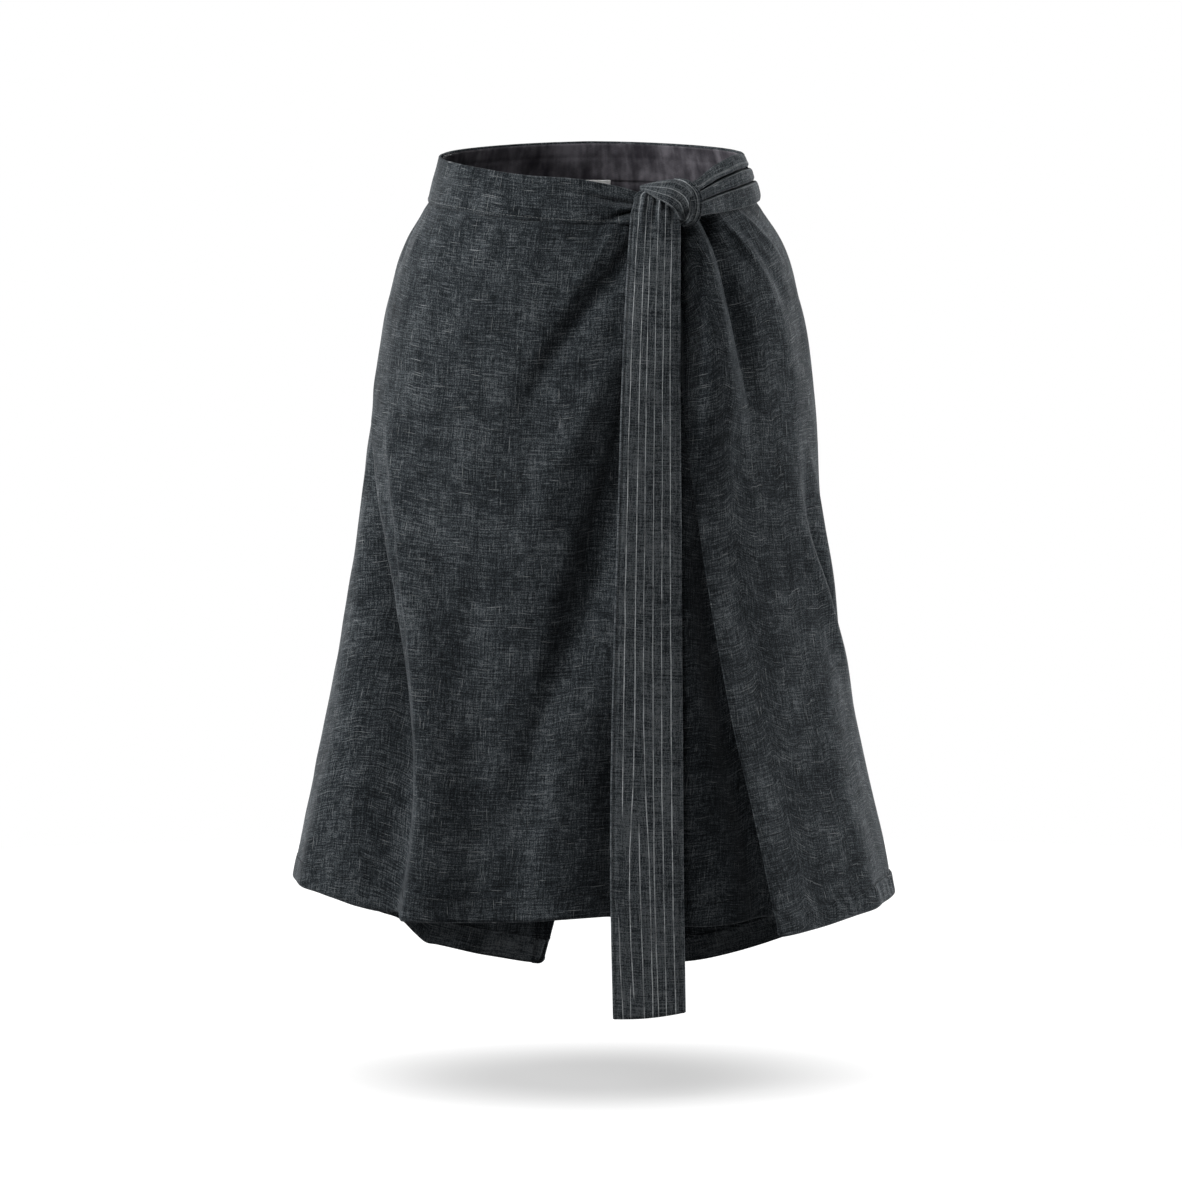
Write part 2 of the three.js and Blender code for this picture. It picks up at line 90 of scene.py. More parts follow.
VENT_SPREAD = 8.6  # what each side of the slit stands open at the hem, in degrees
WRAP_LIFT = 4 * MM  # how far the upper layer lies off the body where it covers the lower one
MEAN_RADIUS = 0.17  # the body's
RIPPLE = 0.35 * MM  # the height of the panels' slight waves
RIPPLE_SEEDS = dict(back=5, under=8, over=13)
HEM_STRENGTH = dict(back=1.0, under=0.4, over=1.8)  # of a hem's relief
HEM_SHARE = dict(back=0.25, under=1, over=1)  # of a turned hem's thickness; the back's is its own piece

# The body: half-width to the sides, depth to the front and back, and how far the section lies to the side.
SECTIONS = table(
    "z side front back shift",
    (0.04, 0.1195, 0.092, 0.095, 0.0),
    (0.019, 0.1228, 0.093, 0.096, 0.0),
    (0.0, 0.1275, 0.095, 0.099, 0.0),
    (-0.019, 0.133, 0.099, 0.104, 0.0003),
    (-0.048, 0.15, 0.107, 0.114, 0.0014),
    (-0.097, 0.166, 0.116, 0.126, 0.0018),
    (-0.16, 0.177, 0.121, 0.134, 0.0018),
    (-0.226, 0.1836, 0.124, 0.138, 0.0002),
    (-0.291, 0.19, 0.128, 0.14, -0.0008),
    (-0.356, 0.2, 0.132, 0.143, -0.0008),
    (-0.59, 0.247, 0.15, 0.155, 0.0),
    (-0.68, 0.265, 0.157, 0.16, 0.0),
)

# Round the body, by angle: the waistband's upper edge and the seam below it.
WAIST = table(
    "at top seam",
    (-180, 0.019, -0.017),
    (-135, 0.0176, -0.0175),
    (-90, 0.0172, -0.0185),
    (-50, 0.0148, -0.02),
    (-25, 0.0108, -0.0235),
    (-3, 0.008, -0.0255),
    (5, 0.0047, -0.026),
    (13, 0.0008, -0.0255),
    (18, -0.003, -0.025),
    (36, 0.005, -0.0205),
    (52, 0.0145, -0.02),
    (70, 0.021, -0.0185),
    (90, 0.0194, -0.017),
    (135, 0.0185, -0.017),
    (180, 0.019, -0.017),
)

# The hems of the under panel, the upper one and the back.
UNDER_HEM = table(
    "at z",
    (-97, -0.5695), (-85, -0.57), (-73, -0.5735), (-65, -0.5782),
    (-58, -0.5842), (-50, -0.5886), (-46, -0.588), (-18, -0.588),
    (4, -0.583), (18, -0.591), (37, -0.587), (52, -0.586),
)
OVER_HEM = table(
    "at z",
    (35, -0.6), (46, -0.5965), (58, -0.59), (80, -0.583), (97, -0.581),
)
BACK_HEM = table(
    "at z",
    (-180, -0.6635), (-171, -0.6615), (-160, -0.652), (-150, -0.6422),
    (-148, -0.6405), (-145.8, -0.6335), (-142.5, -0.6215), (-138, -0.6145),
    (-118, -0.5885), (-97, -0.5695), (97, -0.581), (118, -0.597),
    (130, -0.614), (141, -0.6325), (157, -0.6535), (180, -0.6635),
)

# The wrap's free edge, and the edge of the under panel that it hides, by angle.
WRAP_EDGES = table(
    "z free hidden",
    (-0.025, 18.0, 44),
    (-0.222, 25.5, 47),
    (-0.273, 27.2, 48),
    (-0.342, 28.9, 49),
    (-0.412, 30.6, 50),
    (-0.502, 33.4, 51),
    (-0.6, 35.4, 52),
)

# Folds, by layer. A fold runs from one height to another; angle and rise are given at its start, middle and
# end, and spread, its half-width, at its start and end. Rise and spread are in millimetres. A lean above 0
# steepens the side of greater angles, and a power above 2 flattens the crest.
FOLD = "z angle rise spread lean power"
SHELL_FOLDS = table(
    FOLD,
    ((-0.165, -0.6), (-73, -42.5, -37), (0, 15, 16), (10, 25), -0.6),
    ((-0.13, -0.61), (-105, -56.2, -47.5), (0, -42, -36), (6, 38), 0.45),
    ((-0.215, -0.45), (62, 71, 97), (0, 7.6, 0), (8, 13), 0.35),
    ((-0.215, -0.43), (66, 76, 96), (0, -7, 0), (6, 9)),
    ((-0.185, -0.41), (68, 82, 92), (0, 3.4, 0), (7, 11), 0.3),
    ((-0.17, -0.62), (88, 98, 110), (0, -5.0, -12.5), (11, 26)),
)
BACK_FOLDS = table(
    FOLD,
    ((-0.26, -0.68), (-128, -132, -135), (0, 6, 10), (22, 32)),
    ((-0.28, -0.68), (-150, -154, -157), (0, -6, -11), (20, 28)),
    ((-0.25, -0.68), (136, 138, 139), (0, 7, 10), (22, 34)),
    ((-0.27, -0.68), (158, 160, 161), (0, -5, -9), (18, 26)),
)
UNDER_FOLDS = table(
    FOLD,
    ((-0.024, -0.235), (19, -10.5, -22), (-8, -6, 0), (7, 20), -0.2),
    ((-0.06, -0.34), (20, -5, -17), (0, 4, 0), (8, 20)),
    ((-0.06, -0.54), (17, -1, -18), (0, -14, 0), (6, 26), -0.3),
    ((-0.42, -0.6), (-11, -14, -15), (0, -3, -4), (14, 24)),
    ((-0.33, -0.6), (-4, -7, -8), (0, 4, 4), (16, 26)),
    ((-0.38, -0.6), (6, 4, 4), (0, -7, -9), (10, 15)),
    ((-0.26, -0.6), (19, 19, 18), (0, -5, -4), (8, 9)),
    ((-0.2, -0.6), (27, 31.5, 36), (0, -15, -15), (12, 20)),
)
OVER_FOLDS = table(
    FOLD,
    ((-0.215, -0.6), (25.5, 30.5, 35.4), (0, 8, 13), (14, 30)),
    ((-0.015, -0.36), (29, 24.6, 23.8), (-16, -8, -5), (5, 4)),
    ((-0.02, -0.25), (35.3, 33.8, 36), (3, 9, 0), (4, 26), 0, 5),
    ((-0.015, -0.33), (36, 35.5, 34), (1, 3, 0), (9, 24), 0.6),
    ((-0.015, -0.215), (39.5, 41.8, 46), (-7, -8, 0), (4, 11), -0.6),
    ((-0.012, -0.085), (47, 52.5, 61), (2.6, 4.2, 0), (2.5, 5), 0.7),
    ((-0.015, -0.17), (50, 60, 70), (1, 1.5, 0), (8, 18), 0.5),
    ((-0.012, -0.08), (58, 69, 82), (1.8, 2.6, 0), (3, 7), 0.5),
)

# Finer creases, which only the cloth has.
FINE_BACK = table(
    FOLD,
    ((-0.016, -0.15), (-172, -170, -166), (-0.8, -1.5, 0), (4, 9)),
    ((-0.016, -0.12), (-140, -143, -147), (0.6, 1.2, 0), (4, 8)),
    ((-0.016, -0.19), (150, 147, 143), (-0.8, -1.6, 0), (4, 10)),
    ((-0.016, -0.11), (121, 124, 128), (0.5, 1.1, 0), (3, 8)),
    ((-0.33, -0.6), (-112, -114, -116), (0, -3, -4), (9, 15)),
    ((-0.3, -0.64), (120, 118, 119), (0, -3, -5), (9, 16)),
    ((-0.36, -0.66), (-168, -170, -171), (0, 2.5, 4), (8, 13)),
)
FINE_UNDER = table(
    FOLD,
    ((-0.02, -0.1), (-88, -84, -79), (-0.7, -1.1, 0), (3, 7)),
    ((-0.02, -0.085), (-76, -72, -68), (0.5, 0.9, 0), (3, 7)),
    ((-0.022, -0.12), (-44, -43, -40), (-0.4, -0.9, 0), (4, 9)),
    ((-0.024, -0.11), (9, -3, -13), (1.2, 1.8, 0), (3, 7)),
    ((-0.2, -0.42), (-26, -28, -27), (0, -1.8, 0), (9, 16)),
    ((-0.4, -0.6), (-26, -24, -23), (0, -2.5, -3), (12, 18)),
    ((-0.44, -0.6), (-72, -75, -76), (0, 3, 5), (9, 13)),
)
FINE_OVER = table(
    FOLD,
    ((-0.015, -0.13), (50, 63, 74), (-0.8, -1.8, 0), (3, 9)),
    ((-0.26, -0.56), (52, 54, 55), (0, -2.2, 0), (16, 24)),
    ((-0.42, -0.6), (63, 65, 66), (0, 2, 3), (12, 18)),
)
FOLDS = dict(
    back=SHELL_FOLDS + BACK_FOLDS,
    under=SHELL_FOLDS + UNDER_FOLDS,
    over=SHELL_FOLDS + OVER_FOLDS,
)
FINE_FOLDS = dict(back=FINE_BACK, under=FINE_UNDER, over=FINE_OVER)

# The sash's tail, down it: x at its edges, y at the left one, and how much further back the right one lies.
TAIL = table(
    "z left right y turn",
    (0.001, 0.0385, 0.069, -0.104, 0.0),
    (-0.001, 0.0357, 0.0695, -0.1045, 0.0),
    (-0.008, 0.0338, 0.07, -0.106, 0.0),
    (-0.014, 0.0323, 0.0703, -0.107, 0.0),
    (-0.026, 0.0312, 0.0705, -0.1085, 0.001),
    (-0.066, 0.0286, 0.0705, -0.1165, 0.003),
    (-0.105, 0.0266, 0.0705, -0.122, 0.003),
    (-0.141, 0.025, 0.0706, -0.125, 0.0045),
    (-0.245, 0.0219, 0.0713, -0.13, 0.0065),
    (-0.344, 0.0188, 0.072, -0.1355, 0.007),
    (-0.443, 0.0163, 0.0726, -0.1435, 0.006),
    (-0.542, 0.0154, 0.0732, -0.152, 0.004),
    (-0.664, 0.0176, 0.075, -0.159, 0.002),
)
TAIL_SLANT = 5 * MM  # how much higher its end lies at the right edge
SASH_WIDTH = 0.058
SASH_CLOTH = 1.1 * MM
# The sash at the left side: the angles of its start and end, and how far and how wide the knot lifts it.
SASH = dict(start=30, end=90, knot_rise=0.013, knot_reach=26)


def blend(a, b, t):
    return a + (b - a) * t


def smooth(start, end, x):
    t = np.clip((np.asarray(x, float) - start) / (end - start), 0, 1)
    return t * t * (3 - 2 * t)


def bell(x, middle, width):
    """A soft rise to 1 at the middle."""
    return np.exp(-(((x - middle) / width) ** 2))


def spaced(*parts):
    """Even steps in parts that join end to end: start, end and number of values of each."""
    runs = [np.linspace(*part) for part in parts]
    return np.concatenate(runs[:1] + [run[1:] for run in runs[1:]])


def read_at(place, travelled, rows):
    """Rows of coordinates, read at places between those where they stand."""
    return np.array([np.interp(place, travelled, column) for column in rows.T])


def curve(rows, key, value):
    """A smooth curve through one column of a table."""
    x = np.array([row[key] for row in rows], float)
    y = np.array([row[value] for row in rows], float)
    order = np.argsort(x)
    x, y = x[order], y[order]
    step = np.diff(x)
    slope = np.diff(y) / step
    tangent = np.concatenate([slope[:1], slope[:1], slope[1:]])[: len(y)]
    tangent[1:-1] = (slope[:-1] * step[1:] + slope[1:] * step[:-1]) / (step[:-1] + step[1:])
    tangent[-1] = slope[-1]

    def at(q):
        q = np.asarray(q, float)
        i = np.clip(np.searchsorted(x, q, side="right") - 1, 0, len(step) - 1)
        t = np.clip((q - x[i]) / step[i], 0, 1)
        first = y[i] * (1 + 2 * t) * (1 - t) ** 2 + tangent[i] * step[i] * t * (1 - t) ** 2
        second = y[i + 1] * t * t * (3 - 2 * t) + tangent[i + 1] * step[i] * t * t * (t - 1)
        return first + second

    return at


half_width = curve(SECTIONS, "z", "side")
front_depth = curve(SECTIONS, "z", "front")
back_depth = curve(SECTIONS, "z", "back")
sideways = curve(SECTIONS, "z", "shift")
waist_top = curve(WAIST, "at", "top")
waist_seam = curve(WAIST, "at", "seam")
free_edge = curve(WRAP_EDGES, "z", "free")
hidden_edge = curve(WRAP_EDGES, "z", "hidden")


def section(angle, z):
    """The half-width of the body, and its depth at the front or the back."""
    depth = np.where(np.cos(np.radians(angle)) > 0, front_depth(z), back_depth(z))
    return half_width(z), depth


def body_normal(angle, z):
    side, depth = section(angle, z)
    around = np.radians(angle)
    out = np.stack([np.sin(around) / side, -np.cos(around) / depth, np.zeros_like(side)], -1)
    return out / np.linalg.norm(out, axis=-1, keepdims=True)


def body_point(angle, z, off):
    """Points on the body at an angle and height, moved outwards by off."""
    angle, z, off = np.broadcast_arrays(np.asarray(angle, float), z, off)
    side, depth = section(angle, z)
    around = np.radians(angle)
    point = np.stack([side * np.sin(around) + sideways(z), -depth * np.cos(around), z], -1)
    return point + body_normal(angle, z) * off[..., None]


def folded(folds, angle, z):
    """How far folds stand out from the body, all together."""
    side, depth = section(angle, z)
    arc = np.hypot(side * np.cos(np.radians(angle)), depth * np.sin(np.radians(angle)))
    total = np.zeros_like(arc)
    for fold in folds:
        t = (z - fold["z"][0]) / (fold["z"][1] - fold["z"][0])
        live = t >= 0
        t = np.clip(t, 0, 1)
        a0, a1, a2 = fold["angle"]
        middle = a0 * (1 - t) * (1 - 2 * t) + 4 * a1 * t * (1 - t) + a2 * t * (2 * t - 1)
        r0, r1, r2 = (r * MM for r in fold["rise"])
        rise = np.where(t < 0.5, blend(r0, r1, smooth(0, 0.5, t)), blend(r1, r2, smooth(0.5, 1, t)))
        away = np.radians(angle - middle) * arc
        spread = blend(*fold["spread"], t) * MM * (1 - np.sign(away) * fold.get("lean", 0))
        total += np.where(live, rise * np.exp(-(np.abs(away / spread) ** fold.get("power", 2))), 0)
    return total


WAVES = 14


def ripple(angle, z, seed, size):
    """The slight unevenness of worn cloth: long soft waves in several directions."""
    rng = np.random.default_rng(seed)
    x = np.radians(angle) * MEAN_RADIUS
    total = np.zeros(np.broadcast(x, z).shape)
    for _ in range(WAVES):
        length = rng.uniform(0.022, 0.075)
        turn = rng.normal(0, 0.55)
        phase = rng.uniform(0, 2 * math.pi)
        total += np.sin(2 * math.pi * (x * math.cos(turn) + z * math.sin(turn)) / length + phase)
    return total / WAVES**0.5 * size


# ---------------- meshes


def lay(mesh, name, uv):
    """Give a mesh one UV layer, from a place for each point."""
    layer = mesh.uv_layers.new(name=name)
    corner = np.empty(len(mesh.loops), np.int64)
    mesh.loops.foreach_get("vertex_index", corner)
    layer.data.foreach_set("uv", np.ascontiguousarray(uv[corner], np.float32).ravel())


def put_in_scene(name, data):
    made = bpy.data.objects.new(name, data)
    bpy.context.collection.objects.link(made)
    return made


def finish_mesh(name, points, faces, uvs, material):
    mesh = bpy.data.meshes.new(name)
    mesh.from_pydata([tuple(p) for p in points], [], [tuple(int(i) for i in f) for f in faces])
    mesh.validate()
    for layer, uv in uvs.items():
        lay(mesh, layer, uv)
    mesh.polygons.foreach_set("use_smooth", np.full(len(mesh.polygons), True))
    mesh.materials.append(material)
    piece = put_in_scene(name, mesh)
    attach(piece, "root")
    return piece


def grid_quads(rows, columns):
    """The faces of a grid of points, numbered row by row."""
    k = (np.arange(rows - 1)[:, None] * columns + np.arange(columns - 1)).ravel()
    return np.stack([k, k + columns, k + columns + 1, k + 1], 1)


def grid_normals(points):
    down = np.gradient(points, axis=0)
    across = np.gradient(points, axis=1)
    normal = np.cross(down, across)
    return normal / np.maximum(np.linalg.norm(normal, axis=-1, keepdims=True), 1e-12)


def border(rows, columns):
    """The indices round a grid's edge, clockwise as seen from outside."""
    top = np.arange(columns)
    right = np.arange(1, rows) * columns + columns - 1
    bottom = (rows - 1) * columns + np.arange(columns - 2, -1, -1)
    left = np.arange(rows - 2, 0, -1) * columns
    return np.concatenate([top, right, bottom, left])


STEEPEST = 0.65  # where a sheet slants, its depth grows by no more than one over this
RIM_BULGE = 0.42  # of the sheet's depth


def shell(name, outer, thick, uv, material, outward=None, yarns=None):
    """A sheet with a rounded rim. outer is a grid of points: rows down, columns rightwards from outside."""
    rows, columns = outer.shape[:2]
    normal = grid_normals(outer)
    direction = normal if outward is None else outward
    slant = np.maximum(STEEPEST, (direction * normal).sum(-1))
    depth = np.broadcast_to(thick, (rows, columns)) / slant
    inner = outer - direction * depth[..., None]
    count = rows * columns
    points = [outer.reshape(-1, 3), inner.reshape(-1, 3)]
    quads = grid_quads(rows, columns)
    faces = [quads, quads[:, ::-1] + count]
    ring = border(rows, columns)
    flat_outer, flat_inner = points
    along = np.roll(flat_outer[ring], -1, 0) - np.roll(flat_outer[ring], 1, 0)
    outwards = np.cross(along, direction.reshape(-1, 3)[ring])
    outwards /= np.maximum(np.linalg.norm(outwards, axis=1, keepdims=True), 1e-12)
    bulge = RIM_BULGE * depth.reshape(-1)[ring][:, None]
    middle = (flat_outer[ring] + flat_inner[ring]) / 2 - outwards * bulge
    points.append(middle)
    rim = np.arange(len(ring)) + 2 * count
    rim_next = np.roll(rim, -1)
    ring_next = np.roll(ring, -1)
    faces.append(np.stack([ring, ring_next, rim_next, rim], 1))
    faces.append(np.stack([rim, rim_next, ring_next + count, ring + count], 1))
    uvs = {layer: flat for layer, flat in (("cloth", uv), ("yarns", yarns)) if flat is not None}
    for layer, flat in uvs.items():
        flat = flat.reshape(-1, 2)
        uvs[layer] = np.concatenate([flat, flat, flat[ring]])
    return finish_mesh(name, np.concatenate(points), np.concatenate(faces), uvs, material)


def arc_length(points, axis):
    step = np.linalg.norm(np.diff(points, axis=axis), axis=-1)
    start = np.zeros_like(np.take(step, [0], axis))
    return np.cumsum(np.concatenate([start, step], axis), axis)


# ---------------- materials


RELIEF = 0.4 * MM  # of a height of 1 in a material


class Shader:
    """A material's node tree, with short calls to add nodes."""

    def __init__(self, name):
        self.material = bpy.data.materials.new(name)
        self.material.use_nodes = True
        self.tree = self.material.node_tree

    def feed(self, node, inputs):
        """Give a node's inputs sockets or values, in order or by name."""
        for key, value in inputs.items() if isinstance(inputs, dict) else enumerate(inputs):
            if hasattr(value, "is_output"):
                self.tree.links.new(value, node.inputs[key])
            else:
                node.inputs[key].default_value = value

    def node(self, kind, inputs=(), **settings):
        made = self.tree.nodes.new("ShaderNode" + kind)
        for key, value in settings.items():
            setattr(made, key, value)
        self.feed(made, inputs)
        return made

    def math(self, operation, *values, clamp=False):
        """One step of arithmetic on sockets or numbers."""
        return self.node("Math", values, operation=operation, use_clamp=clamp).outputs[0]

    def times(self, *values):
        return self.math("MULTIPLY", *values)

    def add_up(self, *terms, start=0.0):
        """The sum of values, each with its weight."""
        for value, weight in terms:
            start = self.math("MULTIPLY_ADD", value, weight, start)
        return start

    def wave(self, value, length):
        """A sine over a length in the value's own unit."""
        return self.math("SINE", self.times(value, 2 * math.pi / length))

    def remap(self, value, low, high, to_low=0.0, to_high=1.0):
        """A soft step from to_low, where the value is low, to to_high."""
        inputs = (value, low, high, to_low, to_high)
        return self.node("MapRange", inputs, interpolation_type="SMOOTHSTEP").outputs[0]

    def noise(self, across, down, scale_across, scale_down, detail=2.0, shift=0.0):
        """Noise over the cloth, in cycles per millimetre across and down."""
        x = self.add_up((across, scale_across), start=shift)
        y = self.add_up((down, scale_down), start=shift * 1.7)
        place = self.node("CombineXYZ", (x, y)).outputs[0]
        inputs = dict(Vector=place, Scale=1.0, Detail=detail, Roughness=0.6)
        return self.node("TexNoise", inputs, noise_dimensions="2D").outputs[0]

    def ramp(self, value, stops):
        made = self.node("ValToRGB", (value,))
        elements = made.color_ramp.elements
        while len(elements) < len(stops):
            elements.new(0.5)
        for element, (position, colour) in zip(elements, stops):
            element.position = position
            element.color = (*colour, 1)
        return made.outputs[0]

    def mix(self, factor, first, second):
        return self.node("Mix", {0: factor, 6: first, 7: second}, data_type="RGBA").outputs[2]

    def place(self, layer="cloth"):
        """Across and down a UV layer, in millimetres."""
        uv = self.node("UVMap", uv_map=layer).outputs[0]
        split = self.node("SeparateXYZ", (uv,))
        return tuple(self.times(split.outputs[k], 1 / MM) for k in (0, 1))

    def through(self, value, points):
        """A smooth curve through points, both ways between 0 and 1."""
        made = self.node("FloatCurve", dict(Value=value))
        line = made.mapping.curves[0].points
        line[0].location, line[1].location = points[0], points[-1]
        for x, y in points[1:-1]:
            line.new(x, y)
        made.mapping.update()
        return made.outputs[0]

    def surface(self, height, bump, inputs):
        """The material, once its principled shader has a relief and these inputs."""
        relief = self.node("Bump", dict(Strength=bump, Distance=RELIEF, Height=height)).outputs[0]
        self.feed(self.tree.nodes["Principled BSDF"], dict(inputs, Normal=relief))
        return self.material


def by_camera_ray(tree, thrown, seen, output):
    """Show one shader to the camera, and let another light the scene."""
    path = tree.nodes.new("ShaderNodeLightPath")
    chosen = tree.nodes.new("ShaderNodeMixShader")
    sources = (path.outputs["Is Camera Ray"], thrown.outputs[0], seen.outputs[0])
    for source, socket in zip(sources, chosen.inputs):
        tree.links.new(source, socket)
    tree.links.new(chosen.outputs[0], output.inputs["Surface"])


# The yarns' mottle, from dark to pale, by the sum of the noises.
CHAMBRAY = [
    (0.20, (0.0037, 0.0050, 0.0063)),
    (0.36, (0.0114, 0.0144, 0.0171)),
    (0.50, (0.0258, 0.0312, 0.0356)),
    (0.64, (0.0540, 0.0628, 0.0695)),
    (0.80, (0.1230, 0.1340, 0.1420)),
]
PALE_YARN = (0.36, 0.375, 0.38, 1)


def chambray(shader, across, down, lighter=0.0):
    """The mottled colour of slubbed yarns crossing, its height, and its tone from dark to pale."""
    sway = shader.noise(across, down, 0.012, 0.016, 2, 31.0)
    lift = shader.noise(across, down, 0.016, 0.012, 2, 37.0)
    across = shader.add_up((sway, 5.0), start=across)
    down = shader.add_up((lift, 6.0), start=down)
    fine = shader.noise(across, down, 1.00, 1.00, 1, 23.0)
    warp = shader.noise(across, down, 0.95, 0.100, 2, 3.1)
    weft = shader.noise(across, down, 0.090, 0.95, 2, 7.7)
    warp_long = shader.noise(across, down, 0.90, 0.018, 1, 11.3)
    weft_long = shader.noise(across, down, 0.016, 0.95, 1, 17.9)
    rib = shader.wave(down, 2.75)
    patches = shader.noise(across, down, 0.035, 0.028, 3, 29.0)
    yarns = ((weft, 0.64), (warp, 0.62), (fine, 0.78), (warp_long, 0.30), (weft_long, 0.36))
    total = shader.add_up(*yarns, (patches, 0.44), (rib, 0.018))
    total = shader.math("ADD", total, 0.5 - 1.57 + lighter)  # 1.57 is the noises' mean sum
    colour = shader.ramp(total, CHAMBRAY)
    warp_slub = shader.remap(shader.noise(across, down, 1.10, 0.040, 1, 41.0), 0.755, 0.835)
    weft_slub = shader.remap(shader.noise(across, down, 0.036, 1.15, 1, 53.0), 0.745, 0.825)
    slub = shader.math("MAXIMUM", warp_slub, weft_slub)
    slub = shader.times(slub, shader.remap(fine, 0.20, 0.50, 0.4, 1.0))
    colour = shader.mix(shader.times(slub, 0.7), colour, PALE_YARN)
    crumple = shader.noise(across, down, 0.050, 0.032, 2, 61.0)
    weave = shader.times(shader.wave(across, 0.62), shader.wave(down, 0.62))
    height = shader.add_up((weave, 0.10), (slub, 0.4), (crumple, 3.0), start=total)
    return colour, height, total


def dress(shader, colour, height, roughness, sheen=0.18, bump=0.6):
    """Colour, relief and surface of matt cloth."""
    inputs = {
        "Base Color": colour,
        "Roughness": roughness,
        "Specular IOR Level": 0.10,
        "Sheen Weight": sheen,
        "Sheen Roughness": 0.5,
        "Sheen Tint": (0.75, 0.8, 0.85, 1),
    }
    return shader.surface(height, bump, inputs)


def yarn_roughness(shader, tone):
    return shader.remap(tone, 0.3, 0.8, 0.95, 0.8)


def linen_material(name, lighter=0.0):
    shader = Shader(name)
    colour, height, tone = chambray(shader, *shader.place(), lighter)
    return dress(shader, colour, height, yarn_roughness(shader, tone))


# The white yarns of the sash: where each lies across its width, from one length down it to another. The
# tail's end is at 0.68 m; what lies before 0 is in the knot and round the side.
SASH_LENGTH = 0.70
WHITE_YARNS = table(
    "start end strength at",
    (-1.0, 0.51, 1.0, ((0.0, 0.155), (0.4, 0.136), (0.65, 0.16), (0.75, 0.158))),
    (-1.0, 0.655, 1.0, ((0.0, 0.312), (0.4, 0.296), (0.66, 0.312), (0.8, 0.255), (1.0, 0.333))),
    (-1.0, 0.7, 0.9, ((0.0, 0.42), (0.4, 0.426), (0.64, 0.455), (0.78, 0.53), (1.0, 0.546))),
    (-1.0, 0.7, 0.75, ((0.0, 0.565), (0.4, 0.564), (0.64, 0.586), (0.78, 0.603), (1.0, 0.64))),
    (-1.0, 0.7, 0.9, ((0.0, 0.71), (0.4, 0.7), (0.64, 0.708), (0.78, 0.728), (1.0, 0.747))),
    (-1.0, 0.7, 1.0, ((0.0, 0.842), (0.4, 0.833), (0.64, 0.846), (0.78, 0.855), (1.0, 0.876))),
    (0.505, 0.7, 0.9, ((0.0, 0.395), (0.72, 0.395), (0.85, 0.411), (1.0, 0.447))),
    (0.585, 0.7, 0.7, ((0.0, 0.09), (0.83, 0.095), (1.0, 0.145))),
    (0.64, 0.7, 0.6, ((0.0, 0.23), (1.0, 0.24))),
)
YARN_HALF_WIDTH = 0.33  # in millimetres, as are the next two
YARN_SWAY = 1.1
YARN_END = 8  # where a yarn fades in or out


def sash_material(name, lighter, white_yarn):
    """The same cloth, made paler by lighter, with single white yarns along it, of colour white_yarn, that
    thin out, wear, end and start. Its darker copies paint shade.
    """
    shader = Shader(name)
    colour, height, tone = chambray(shader, *shader.place(), lighter)
    across, along = shader.place("yarns")
    width = shader.times(across, SASH_WIDTH)
    far = shader.math("DIVIDE", along, -SASH_LENGTH / MM, clamp=True)
    white = 0.0
    for number, yarn in enumerate(WHITE_YARNS):
        points = list(yarn["at"])
        if points[-1][0] < 1:
            points.append((1.0, points[-1][1]))
        middle = shader.times(shader.through(far, points), SASH_WIDTH / MM)
        sway = shader.noise(along, 0.0, 0.022, 1.0, 1, 61.0 + 3.3 * number)
        middle = shader.math("SUBTRACT", middle, YARN_SWAY / 2)
        middle = shader.add_up((sway, YARN_SWAY), start=middle)
        away = shader.math("ABSOLUTE", shader.math("SUBTRACT", width, middle))
        line = shader.remap(away, YARN_HALF_WIDTH * 0.4, YARN_HALF_WIDTH * 1.6, 1.0, 0.0)
        thin = shader.noise(along, 0.0, 0.030, 1.0, 2, 71.0 + 9.1 * number)
        worn = shader.noise(along, 0.0, 0.45, 1.0, 2, 83.0 + 5.7 * number)
        line = shader.times(line, shader.remap(thin, 0.34, 0.56, 0.35, 1.0))
        line = shader.times(line, shader.remap(worn, 0.30, 0.55, 0.55, 1.0))
        start, end = (-yarn[key] / MM for key in ("start", "end"))
        line = shader.times(line, shader.remap(along, start, start - YARN_END))
        line = shader.times(line, shader.remap(along, end, end + YARN_END))
        white = shader.math("MAXIMUM", white, shader.times(line, yarn["strength"]))
    colour = shader.mix(white, colour, white_yarn)
    height = shader.add_up((white, 0.5), start=height)
    return dress(shader, colour, height, yarn_roughness(shader, tone))


SATIN = [
    (0.38, (0.035, 0.032, 0.039)),
    (0.50, (0.080, 0.075, 0.086)),
    (0.62, (0.155, 0.146, 0.164)),
]


def satin_material():
    """Dark lining satin: blotches and soft streaks over fine crosswise threads."""
    shader = Shader("facing_satin")
    across, down = shader.place()
    blotch = shader.noise(across, down, 0.040, 0.030, 3, 5.0)
    streak = shader.noise(across, down, 0.16, 0.030, 2, 7.0)
    thread = shader.noise(across, down, 0.4, 4.0, 1, 9.0)
    value = shader.add_up((thread, 0.15), (streak, 0.25), (blotch, 0.60))
    colour = shader.ramp(value, SATIN)
    inputs = {"Base Color": colour, "Roughness": 0.5, "Specular IOR Level": 0.12, "Sheen Weight": 0.04}
    return shader.surface(value, 0.25, inputs)


def tape_material():
    """White woven label tape."""
    shader = Shader("label_tape")
    across, down = shader.place()
    rib = shader.wave(down, 0.5)
    fleck = shader.noise(across, down, 0.8, 2.0, 2, 13.0)
    colour = shader.ramp(fleck, [(0.3, (0.82, 0.82, 0.81)), (0.7, (0.92, 0.92, 0.91))])
    return dress(shader, colour, rib, 0.8, 0.05, 0.3)


